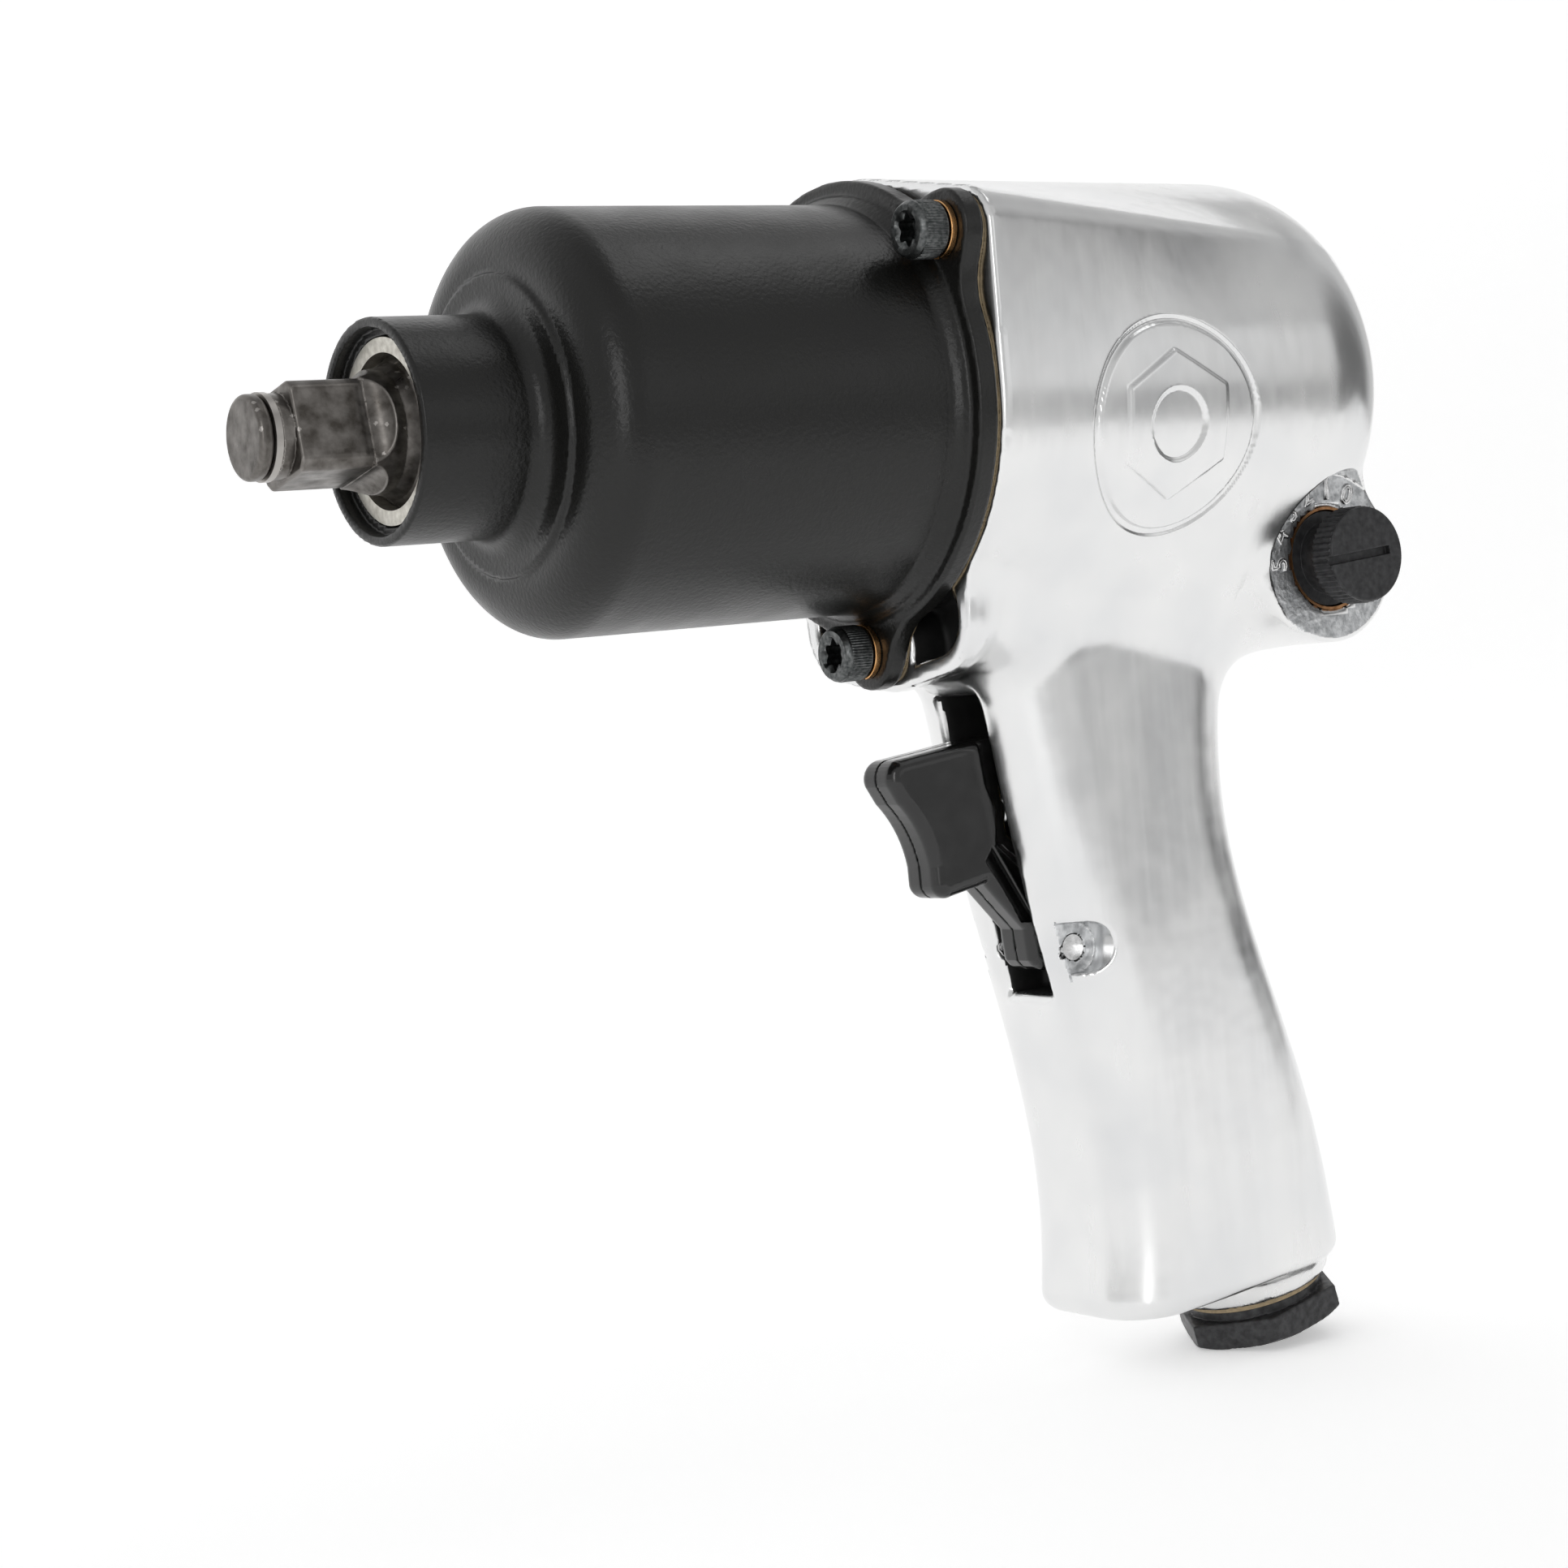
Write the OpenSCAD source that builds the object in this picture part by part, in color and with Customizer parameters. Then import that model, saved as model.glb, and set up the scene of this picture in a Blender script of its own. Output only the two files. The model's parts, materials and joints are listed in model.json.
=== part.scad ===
// Half-inch square drive air impact wrench with a twin hammer mechanism.
// Frame: +X forward along the spindle, +Y to the operator's left, +Z up.
// Origin: on the spindle axis, at the shoulder behind the drive square.

/* [Square drive] */
// Width across the flats of the drive square
drive_af = 12.7; // [12.6:0.05:12.8]
// Radius that the corners of the square are turned to
drive_corner_r = 8.1; // [7.8:0.1:8.3]
// Reach of the drive in front of its shoulder
drive_reach = 20.5; // [20:0.5:22]
// Turn of the square about the spindle
drive_turn = 11; // [0:1:45]

/* [Hammer case] */
// Outer radius of the nose
nose_r = 15.8; // [15.6:0.1:16.2]
// Outer radius of the hammer case
case_r = 30.65; // [30.4:0.05:31]
// Rounding of the shoulder between the front face and the side
shoulder_r = 7.5; // [6:0.5:10]
// Radius of the round part of the flange
flange_r = 34.2; // [34:0.1:34.6]
// Distance of the three flange screws from the spindle
screw_circle_r = 36.5; // [36.2:0.1:36.8]

/* [Handle] */
// Lean of the air inlet and the handle from the vertical
handle_lean = 12.8; // [12.4:0.1:13]
// Half the width of the handle
handle_half_w = 16; // [15.6:0.1:16.6]
// Width across the flats of the air inlet bushing
inlet_hex_af = 24; // [23.5:0.1:24.5]
// Radius of the inlet thread
inlet_thread_r = 5.72; // [5.6:0.02:5.8]

/* [Controls] */
// Radius of the round boss that carries the dial
dial_r = 13.3; // [13:0.1:13.6]
// Height of the dial face above the centre plane
dial_face_y = 21.6; // [21.4:0.1:21.8]
// Radius of the regulator knob
knob_r = 7.6; // [7.5:0.02:7.62]
// Travel of the reversing spool
spool_travel = 8.5; // [8:0.1:8.5]
// Half the width of the slot that the trigger moves in
slot_half_w = 5.1; // [5:0.1:5.3]

/* [Motor] */
// Radius of the rotor
rotor_r = 21.9; // [21.7:0.05:21.95]
// Radius of the bore that the vanes sweep
cylinder_bore_r = 24.3; // [24.2:0.05:24.35]
// Distance between the rotor axis and the cylinder axis
eccentricity = 2.2; // [2:0.05:2.25]
// Number of vanes
vane_count = 6; // [4:1:7]

/* [Hidden] */
$fn = 64;
eps = 0.5;

// Stations along the spindle, from the nose backwards
nose_x = 1.2;
mouth_floor_x = -1;
case_wall_x = -24;
case_face_x = -18.6;
flange_front_x = -78;
flange_rear_x = -81.4;
housing_face_x = -82;
motor_floor_x = -137.5;
rear_x = -169;

// Radii around the spindle
mouth_r = 14.35;
bush_outer_r = 13;
journal_r = 10.85;
run_gap = 0.05;
case_bore_r = 27.2;
motor_bore_r = 28.25;
end_plate_r = 28.2;

// Flange screws
screw_angles = [38.7, 141.3, 270];
screw_r = 2.5;
screw_head_r = 4.25;
screw_head_h = 5;
washer_h = 1.3;
screw_end_x = -96;
ear_r = 5.95;

// Motor stack
front_plate_x = [-90.5, -82.1];
rear_plate_x = [-136.4, -128.4];
cylinder_x = [-128.3, -90.6];
rotor_x = [-128.1, -90.8];
dowel_z = 25.2;
dowel_r = 1.5;
shaft_r = 6;
spline_r = 5.8;
spline_count = 8;
vane_t = 2;
vane_root_r = 12.2;

// Ball bearings, 12 by 24 by 6 millimetres
bearing_w = 6;
bearing_outer_r = 12;
bearing_pitch_r = 9;
ball_r = 1.75;
ball_count = 9;
front_bearing_x = -88.5;
rear_bearing_x = -136;

// Twin hammer mechanism
cage_r = 26.4;
cage_front_x = [-30.5, -26.8];
cage_rear_x = [-70, -63.5];
cage_hub_x = -81.7;
hammer_pin_z = 20.6;
hammer_pin_r = 3.2;
hammer_rock = 3;
front_hammer_x = [-46.4, -31.2];
rear_hammer_x = [-62.8, -47.4];
hammer_half_w = 17.5;
hammer_hole_r = 14.6;
jaw_r = 14.2;
core_r = 9.5;
pilot_r = 6;

// Trigger and its pin
pin_x = -104.5;
pin_z = -84.7;
pin_r = 2;
pin_floor_y = 10.3;
trigger_half_w = 4.4;
slot_back_x = -110.5;
slot_top_z = -45;
slot_bottom_z = -92;
plunger_z = -63;
plunger_r = 2;
plunger_front_x = -99.3;
plunger_back_x = -122.2;

// Inlet axis: a point on it, with its local z running up the handle
inlet_x = -124;
inlet_z = -62;
thread_top_w = -66;
boss_end_w = -84.7;
grip_end_w = -83.1;
boss_r = 13;
collar_top_w = -85.5;
collar_r = 11;
hex_top_w = -87.1;
hex_end_w = -91.6;
// Strainer's lower rim, above the end of the inlet thread
screen_low_w = hex_end_w + 14.6;
seat_w = [-27, -24];
valve_r = 6.3;

// Dial boss and reversing valve
dial_x = -153.9;
dial_z = -28.6;
spool_r = 6.45;
bush_r = 8.15;
rod_r = 3;
ring_y = [-15, 8.2];

function arc(cx, cy, r, a0, a1, n) = [
    for (i = [0:n]) let (a = a0 + (a1 - a0) * i / n) [cx + r * cos(a), cy + r * sin(a)]
];

// A length of the two-dimensional child, whose x and y are the frame's y and z
module axial(x0, x1) {
    translate([x0, 0, 0])
        rotate([90, 0, 90])
            linear_extrude(x1 - x0)
                children();
}

// A disc centred on the spindle
module disc(r, x0, x1) {
    translate([x0, 0, 0])
        rotate([0, 90, 0])
            cylinder(h = x1 - x0, r = r);
}

// A cone centred on the spindle
module cone(r0, r1, x0, x1) {
    translate([x0, 0, 0])
        rotate([0, 90, 0])
            cylinder(h = x1 - x0, r1 = r0, r2 = r1);
}

// A turned shape about the spindle, from points of radius and x
module turned(points) {
    rotate([0, 90, 0])
        rotate_extrude()
            polygon(points);
}

// A cylinder across the tool
module cross_disc(r, y0, y1) {
    translate([0, y0, 0])
        rotate([-90, 0, 0])
            cylinder(h = y1 - y0, r = r);
}

module at_screws() {
    for (a = screw_angles)
        translate([0, screw_circle_r * cos(a), screw_circle_r * sin(a)])
            children();
}

module at_inlet() {
    translate([inlet_x, 0, inlet_z])
        rotate([0, handle_lean, 0])
            children();
}

module at_dial() {
    translate([dial_x, 0, dial_z])
        children();
}

// Outline of the flange: a circle with three ears
module flange_outline(grow = 0) {
    circle(r = flange_r + grow);
    for (a = screw_angles)
        rotate(a) {
            translate([screw_circle_r, 0])
                circle(r = ear_r + grow);
            translate([screw_circle_r - 8, -ear_r - grow])
                square([8, 2 * (ear_r + grow)]);
        }
}

// ---------------------------------------------------------------- casings

// A thin rounded rectangle lying level at height z, for the handle
module handle_slice(z, front, back, half_w, corner) {
    for (x = [front - corner, back + corner], y = [-1, 1])
        translate([x, y * (half_w - corner), z])
            cylinder(h = 0.4, r = corner, $fn = 32);
}

module barrel() {
    hull() {
        disc(flange_r + 0.4, housing_face_x - 2, housing_face_x);
        for (a = [screw_angles[0], screw_angles[1]])
            translate([0, screw_circle_r * cos(a), screw_circle_r * sin(a)])
                disc(ear_r + 0.4, housing_face_x - 2, housing_face_x);
        disc(33.6, -149.4, -147);
        translate([rear_x + 19.5, 0, 0])
            rotate([0, 90, 0])
                rotate_extrude($fn = 48)
                    translate([13.9, 0])
                        circle(r = 19.5, $fn = 32);
    }
}

module dial_boss() {
    hull() {
        at_dial()
            cross_disc(dial_r, -dial_face_y - 0.3, dial_face_y + 0.3, $fn = 48);
        translate([-150, -20, -22])
            cube([24, 40, 4]);
        translate([-146, -15, -38])
            cube([16, 30, 4]);
    }
}

module neck() {
    hull() {
        translate([-150, -25, -24])
            cube([62, 50, 2]);
        handle_slice(-46, -93.4, -142, handle_half_w + 0.6, 11);
    }
}

module front_lobe() {
    hull() {
        for (p = [[0, -36.3, 6.7], [-11.4, -33.2, 8.1], [11.4, -33.2, 8.1]])
            translate([0, p[0], p[1]])
                disc(p[2], housing_face_x - 4, housing_face_x, $fn = 32);
        handle_slice(-47, -93.6, -115, 13, 8);
    }
}

module grip() {
    hull() {
        handle_slice(-40, -92, -141.5, handle_half_w + 0.4, 11);
        handle_slice(-62, -95.8, -137.5, handle_half_w, 11);
    }
    hull() {
        handle_slice(-62, -95.8, -137.5, handle_half_w, 11);
        handle_slice(-112, -106.8, -149.4, handle_half_w, 11);
    }
    difference() {
        hull() {
            handle_slice(-112, -106.8, -149.4, handle_half_w, 11);
            handle_slice(-138, -107, -154.2, handle_half_w + 0.2, 11);
            handle_slice(-144.4, -109, -151.6, handle_half_w - 3, 8);
        }
        at_inlet()
            translate([-40, -30, grip_end_w - 20])
                cube([50, 60, 20]);
    }
}

module motor_housing() {
    color("silver")
        difference() {
            union() {
                barrel();
                dial_boss();
                neck();
                front_lobe();
                grip();
                at_inlet()
                    translate([0, 0, boss_end_w])
                        cylinder(h = 20, r = boss_r);
            }
            housing_motor_bore();
            housing_air_passages();
            housing_trigger_cuts();
            housing_front_pocket();
        }
}

module housing_motor_bore() {
    disc(motor_bore_r, motor_floor_x, housing_face_x + 1);
    translate([0, 0, dowel_z])
        disc(dowel_r + 0.03, motor_floor_x - 4, motor_floor_x + 1);
    at_screws()
        disc(screw_r + 0.03, screw_end_x - 2, housing_face_x + 1);
    at_dial() {
        cross_disc(bush_r + 0.02, -dial_face_y - 1, dial_face_y + 1);
        // Flat round dial faces let into the sides of the barrel
        cross_disc(dial_r + 0.2, dial_face_y, 40);
        cross_disc(dial_r + 0.2, -40, -dial_face_y);
    }
    // Hole for the stop pin of the reversing valve
    translate([dial_x, -3, dial_z + spool_r])
        cylinder(h = 22, r = 1.25);
}

module housing_air_passages() {
    at_inlet() {
        translate([0, 0, boss_end_w - 1])
            cylinder(h = thread_top_w - boss_end_w + 1, r = 9.5);
        translate([0, 0, thread_top_w - eps])
            cylinder(h = seat_w[1] - thread_top_w + eps, r = 8.5);
        translate([0, 0, seat_w[1] - eps])
            cylinder(h = 32, r = 7);
        // Exhaust chamber in front of the inlet, open at the bottom of the handle
        translate([13.6, -9.5, -90])
            cube([8.4, 19, 54]);
    }
    // Slanted passage from above the throttle valve to the reversing valve
    translate([-123, 0, -54])
        rotate([0, -49, 0])
            cylinder(h = 36, r = 4.4);
    // Feeds from the reversing valve to the rear end plate
    for (y = [-9, 9])
        translate([0, y, -21.5])
            disc(3, dial_x + 2, motor_floor_x + 1);
    // Exhaust plenum under the cylinder and a duct on each side of the trigger
    translate([-118, -13, -42])
        cube([9, 26, 18]);
    for (y = [-12, 8])
        translate([-121, y, -106])
            cube([9, 4, 66]);
}

module housing_trigger_cuts() {
    translate([slot_back_x, -slot_half_w, slot_bottom_z])
        cube([40, 2 * slot_half_w, slot_top_z - slot_bottom_z]);
    translate([pin_x, 0, pin_z])
        cross_disc(pin_r + 0.02, -20, 20);
    translate([0, 0, plunger_z])
        disc(3.52, inlet_x, slot_back_x + 1);
    for (side = [-1, 1])
        translate([pin_x, side * (pin_floor_y + 6), pin_z]) {
            cross_disc(4, -6, 6);
            translate([0, -6, -3.75])
                cube([3.6, 12, 7.5]);
        }
}

// Hollow between the lower screw ear and the rim of the housing
module housing_front_pocket() {
    axial(housing_face_x - 6, housing_face_x + 1)
        difference() {
            polygon([
                [-17.5, -29.4], [-15.8, -34.8], [-7, -38.8], [7, -38.8], [15.8, -34.8], [17.5, -29.4]
            ]);
            circle(r = motor_bore_r + 2.6);
            translate([0, -screw_circle_r])
                circle(r = ear_r + 0.3);
        }
}

module hammer_case() {
    fillet = arc(nose_r + 3, case_face_x + 3, 3, 180, 270, 8);
    shoulder = arc(case_r - shoulder_r, case_face_x - shoulder_r, shoulder_r, 90, 0, 14);
    color([0.08, 0.08, 0.09])
        difference() {
            union() {
                turned(concat(
                    [[0, nose_x], [nose_r - 0.5, nose_x], [nose_r, nose_x - 0.5]],
                    fillet,
                    shoulder,
                    [[case_r, flange_front_x], [0, flange_front_x]]
                ));
                axial(flange_rear_x, flange_front_x)
                    flange_outline();
                // Bead where the side meets the flange
                cone(case_r + 1, case_r - 0.2, flange_front_x - 0.2, flange_front_x + 2.2);
            }
            disc(mouth_r, mouth_floor_x, nose_x + 1);
            disc(bush_outer_r + 0.02, case_wall_x - 1, mouth_floor_x + 1);
            disc(case_bore_r, flange_rear_x - 1, case_wall_x);
            at_screws()
                disc(screw_r + 0.25, flange_rear_x - 1, flange_front_x + 1);
        }
}

module case_gasket() {
    color("tan")
        difference() {
            axial(housing_face_x, flange_rear_x)
                flange_outline();
            disc(case_bore_r + 0.8, housing_face_x - 1, flange_rear_x + 1);
            at_screws()
                disc(screw_r + 0.3, housing_face_x - 1, flange_rear_x + 1);
        }
}

module anvil_bush() {
    color([0.72, 0.69, 0.62])
        difference() {
            disc(bush_outer_r, case_wall_x, mouth_floor_x);
            disc(journal_r + run_gap, case_wall_x - 1, mouth_floor_x + 1);
        }
}

// ---------------------------------------------------------------- fasteners

module case_screws() {
    head_x = flange_front_x + washer_h;
    color([0.2, 0.21, 0.21])
        at_screws()
            difference() {
                union() {
                    disc(screw_head_r, head_x, head_x + screw_head_h - 0.5);
                    cone(screw_head_r, screw_head_r - 0.5, head_x + screw_head_h - 0.5, head_x + screw_head_h);
                    disc(screw_r, screw_end_x, head_x + 1);
                }
                disc(1.7, head_x + screw_head_h - 3, head_x + screw_head_h + 1);
                for (a = [0:60:300])
                    rotate([a, 0, 0])
                        translate([0, 1.7, 0])
                            disc(0.5, head_x + screw_head_h - 3, head_x + screw_head_h + 1);
            }
}

module spring_washers() {
    color([0.72, 0.42, 0.22])
        at_screws()
            difference() {
                disc(4.3, flange_front_x, flange_front_x + washer_h - 0.02);
                disc(screw_r + 0.15, flange_front_x - 1, flange_front_x + washer_h + 1);
                translate([flange_front_x - 1, -0.4, 0])
                    cube([4, 0.8, 6]);
            }
}

// ---------------------------------------------------------------- motor

module end_plate(span, pocket_floor, pocket_mouth) {
    color([0.62, 0.62, 0.6])
        difference() {
            disc(end_plate_r, span[0], span[1]);
            disc(bearing_outer_r + 0.02, pocket_floor, pocket_mouth);
            disc(shaft_r + 0.5, span[0] - 1, span[1] + 1);
            translate([0, 0, dowel_z])
                disc(dowel_r + 0.03, span[0] - 1, span[1] + 1);
            children();
        }
}

module front_end_plate() {
    end_plate(front_plate_x, front_bearing_x - 0.02, front_plate_x[1] + 1);
}

module rear_end_plate() {
    end_plate(rear_plate_x, rear_plate_x[0] - 1, rear_bearing_x + bearing_w + 0.02)
        for (y = [-9, 9])
            translate([0, y, -21.5])
                disc(2.4, rear_plate_x[0] - 1, rear_plate_x[1] + 1);
}

module motor_cylinder() {
    color([0.5, 0.5, 0.52])
        difference() {
            disc(end_plate_r, cylinder_x[0], cylinder_x[1]);
            translate([0, 0, -eccentricity])
                disc(cylinder_bore_r, cylinder_x[0] - 1, cylinder_x[1] + 1);
            translate([0, 0, dowel_z])
                disc(dowel_r + 0.03, cylinder_x[0] - 1, cylinder_x[1] + 1);
            // Exhaust ports above the plenum
            for (x = [-116, -111], y = [-9, 0, 9])
                translate([x, y, -40])
                    cylinder(h = 22, r = 1.8);
        }
}

module cylinder_dowel() {
    color("silver")
        translate([0, 0, dowel_z])
            disc(dowel_r, motor_floor_x - 3.5, -83);
}

module motor_clamp_washer() {
    color("dimgray")
        difference() {
            disc(28, motor_floor_x + 0.1, rear_plate_x[0] - 0.1);
            disc(24, motor_floor_x - 1, rear_plate_x[0] + 1);
            translate([0, 0, dowel_z])
                disc(dowel_r + 0.1, motor_floor_x - 1, rear_plate_x[0] + 1);
        }
}

module ball_track(x0) {
    translate([x0 + bearing_w / 2, 0, 0])
        rotate([0, 90, 0])
            rotate_extrude()
                translate([bearing_pitch_r, 0])
                    circle(r = ball_r + 0.03);
}

module bearing_race(x0, r_in, r_out) {
    color("lightsteelblue")
        difference() {
            disc(r_out, x0, x0 + bearing_w);
            disc(r_in, x0 - 1, x0 + bearing_w + 1);
            ball_track(x0);
        }
}

module at_balls(x0) {
    for (i = [0:ball_count - 1])
        rotate([360 * i / ball_count, 0, 0])
            translate([x0 + bearing_w / 2, 0, bearing_pitch_r])
                children();
}

module bearing_balls(x0) {
    color("gainsboro")
        at_balls(x0)
            sphere(r = ball_r, $fn = 24);
}

module bearing_cage(x0) {
    color("goldenrod")
        difference() {
            disc(9.8, x0 + 0.6, x0 + bearing_w - 0.6);
            disc(8.3, x0 - 1, x0 + bearing_w + 1);
            at_balls(x0)
                sphere(r = ball_r + 0.05, $fn = 24);
        }
}

module front_bearing_outer_race() {
    bearing_race(front_bearing_x, 10.2, bearing_outer_r);
}

module front_bearing_inner_race() {
    bearing_race(front_bearing_x, shaft_r + 0.01, 7.9);
}

module front_bearing_balls() {
    bearing_balls(front_bearing_x);
}

module front_bearing_cage() {
    bearing_cage(front_bearing_x);
}

module rear_bearing_outer_race() {
    bearing_race(rear_bearing_x, 10.2, bearing_outer_r);
}

module rear_bearing_inner_race() {
    bearing_race(rear_bearing_x, shaft_r + 0.01, 7.9);
}

module rear_bearing_balls() {
    bearing_balls(rear_bearing_x);
}

module rear_bearing_cage() {
    bearing_cage(rear_bearing_x);
}

module at_vanes() {
    for (i = [0:vane_count - 1])
        rotate([360 * i / vane_count, 0, 0])
            children();
}

module spline_flutes(r, x0, x1) {
    for (i = [0:spline_count - 1])
        rotate([360 * i / spline_count, 0, 0])
            translate([0, 0, spline_r])
                disc(r, x0, x1);
}

module rotor() {
    color([0.55, 0.55, 0.57])
        difference() {
            union() {
                disc(rotor_r, rotor_x[0], rotor_x[1]);
                disc(shaft_r, rear_plate_x[0] + 0.1, rotor_x[0] + 1);
                disc(shaft_r, rotor_x[1] - 1, -82.2);
                disc(spline_r, -83, -72);
            }
            at_vanes()
                translate([rotor_x[0] - 1, -vane_t / 2 - 0.05, vane_root_r - 0.3])
                    cube([40, vane_t + 0.1, 12]);
            spline_flutes(0.9, -82.2, -71);
        }
}

module rotor_vanes() {
    color([0.45, 0.3, 0.16])
        at_vanes()
            translate([rotor_x[0] + 0.1, -vane_t / 2, vane_root_r])
                cube([rotor_x[1] - rotor_x[0] - 0.2, vane_t, rotor_r - vane_root_r - 0.15]);
}

// ---------------------------------------------------------------- hammers

module hammer_cage() {
    color([0.38, 0.38, 0.4])
        difference() {
            union() {
                disc(cage_r, cage_front_x[0], cage_front_x[1]);
                disc(cage_r, cage_rear_x[0], cage_rear_x[1]);
                disc(10, cage_hub_x, cage_rear_x[0] + 1);
                axial(cage_rear_x[1] - 1, cage_front_x[0] + 1)
                    intersection() {
                        difference() {
                            circle(r = cage_r);
                            square([40, 60], center = true);
                        }
                        square([60, 16], center = true);
                    }
            }
            disc(core_r + 0.1, cage_front_x[0] - 1, cage_front_x[1] + 1);
            disc(pilot_r + run_gap, -71.4, cage_rear_x[1] + 1);
            difference() {
                disc(spline_r + run_gap, cage_hub_x - 1, -71);
                spline_flutes(0.85, cage_hub_x - 2, -70);
            }
            for (side = [-1, 1])
                translate([0, 0, side * hammer_pin_z])
                    disc(hammer_pin_r + 0.02, -69.2, cage_front_x[1] - 0.6);
        }
}

module hammer_pins() {
    color("silver")
        for (side = [-1, 1])
            translate([0, 0, side * hammer_pin_z])
                disc(hammer_pin_r, -69, cage_front_x[1] - 0.8);
}

// A hammer that rocks on the pin at +Z and has a notch round the other pin
module hammer(span) {
    notch_half_w = hammer_pin_r + 2 * hammer_pin_z * sin(hammer_rock) + 0.4;
    color([0.33, 0.33, 0.35])
        axial(span[0], span[1])
            difference() {
                intersection() {
                    circle(r = 25.4);
                    square([2 * hammer_half_w, 60], center = true);
                }
                circle(r = hammer_hole_r);
                intersection() {
                    circle(r = hammer_hole_r + 1);
                    translate([-9, 0])
                        square([18, 20]);
                }
                translate([0, hammer_pin_z])
                    circle(r = hammer_pin_r + run_gap);
                translate([-notch_half_w, -30])
                    square([2 * notch_half_w, 30 - hammer_pin_z + hammer_pin_r + 0.3]);
            }
}

module front_hammer() {
    hammer(front_hammer_x);
}

module rear_hammer() {
    rotate([180, 0, 0])
        hammer(rear_hammer_x);
}

module anvil() {
    half = drive_af / 2;
    color([0.3, 0.29, 0.28])
        union() {
            rotate([drive_turn, 0, 0])
                intersection() {
                    translate([-1, -half, -half])
                        cube([16.4, drive_af, drive_af]);
                    disc(drive_corner_r, -1, 15.4);
                }
            turned([
                [0, drive_reach], [5.2, drive_reach], [5.9, drive_reach - 0.7], [5.9, 18.4], [4.2, 18.4],
                [4.2, 17.2], [5.9, 17.2], [5.9, 14], [0, 14]
            ]);
            turned([
                [0, 2.6], [8.65, 2.6], [8.65, -0.5], [9.3, -2.2], [journal_r, -3.4],
                [journal_r, case_wall_x], [13, case_wall_x - 0.2], [13, -26.2], [core_r, -26.2],
                [core_r, -62.8], [pilot_r, -62.8], [pilot_r, -70.6], [pilot_r - 0.5, -71.1], [0, -71.1]
            ]);
            anvil_jaw([-46, -31.6], 0);
            anvil_jaw([-62.4, -47.8], 180);
        }
}

module anvil_jaw(span, turn) {
    rotate([turn, 0, 0])
        axial(span[0], span[1])
            intersection() {
                circle(r = jaw_r);
                translate([-6.5, 0])
                    square([13, 20]);
            }
}

module socket_ring() {
    color([0.35, 0.35, 0.36])
        difference() {
            disc(6.1, 17.3, 18.3);
            disc(5, 17, 19);
            rotate([drive_turn + 60, 0, 0])
                translate([17, -0.6, 0])
                    cube([2, 1.2, 8]);
        }
}

module socket_ring_cushion() {
    color([0.1, 0.1, 0.1])
        difference() {
            disc(4.95, 17.35, 18.25);
            disc(4.22, 17, 19);
        }
}

// ---------------------------------------------------------------- trigger and throttle

module trigger() {
    boss = arc(0, 0, 3.8, 150, 330, 12);
    color([0.06, 0.06, 0.07])
        translate([pin_x, trigger_half_w, pin_z])
            rotate([90, 0, 0])
                linear_extrude(2 * trigger_half_w)
                    difference() {
                        polygon(concat(
                            boss,
                            [[3.6, 1.3], [3.7, 3], [6.9, 6.6], [10.6, 10.9]],
                            arc(17.9, 12.1, 2.5, 250, 350, 6),
                            arc(38.7, 12.1, 18.5, 172, 137, 8),
                            arc(24, 28.6, 3, -20, 90, 8),
                            [[6.7, 33.6], [5.5, 18.2], [-1, 12]]
                        ));
                        circle(r = pin_r + 0.05);
                    }
}

module trigger_pin() {
    color("silver")
        translate([pin_x, 0, pin_z])
            cross_disc(pin_r, -pin_floor_y + 0.2, pin_floor_y - 0.2);
}

module trigger_plunger() {
    head_r = 2.8;
    color("silver")
        translate([0, 0, plunger_z])
            turned(concat(
                [[0, plunger_front_x], [head_r - 0.8, plunger_front_x]],
                arc(head_r - 0.8, plunger_front_x - 0.8, 0.8, 90, 0, 4),
                [[head_r, plunger_front_x - 3], [plunger_r, plunger_front_x - 3]],
                arc(plunger_r - 1.4, plunger_back_x + 1.4, 1.4, 0, -90, 6),
                [[0, plunger_back_x]]
            ));
}

module plunger_bush() {
    color([0.8, 0.62, 0.25])
        translate([0, 0, plunger_z])
            difference() {
                disc(3.5, -116.6, slot_back_x);
                disc(plunger_r + run_gap, -118, slot_back_x + 1);
            }
}

module throttle_valve() {
    color([0.75, 0.65, 0.3])
        at_inlet()
            translate([0, 0, seat_w[0] - 0.05]) {
                translate([0, 0, -2.6])
                    cylinder(h = 2.6, r = valve_r + 0.2);
                cylinder(h = 30, r = 1.8);
            }
}

module valve_seat() {
    color([0.15, 0.15, 0.15])
        at_inlet()
            difference() {
                translate([0, 0, seat_w[0]])
                    cylinder(h = seat_w[1] - seat_w[0], r = 8.45);
                translate([0, 0, seat_w[0] - 1])
                    cylinder(h = 6, r = 5);
            }
}

// A coil spring about z, as one closed tube
module coil(r, wire_r, height, turns, steps = 20, sides = 8) {
    count = turns * steps;
    points = [
        for (i = [0:count], k = [0:sides - 1])
            let (a = 360 * i / steps, b = 360 * k / sides, rr = r + wire_r * cos(b))
                [rr * cos(a), rr * sin(a), height * i / count + wire_r * sin(b)]
    ];
    walls = [
        for (i = [0:count - 1], k = [0:sides - 1])
            let (p = i * sides, n = (k + 1) % sides)
                [p + k, p + sides + k, p + sides + n, p + n]
    ];
    first = [for (k = [0:sides - 1]) k];
    last = [for (k = [sides - 1:-1:0]) count * sides + k];
    polyhedron(points, concat([first], walls, [last]), convexity = 10);
}

module valve_spring() {
    color("silver")
        at_inlet()
            translate([0, 0, thread_top_w + 0.7])
                coil(5.6, 0.6, 35, 7);
}

// ---------------------------------------------------------------- inlet and exhaust

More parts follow.
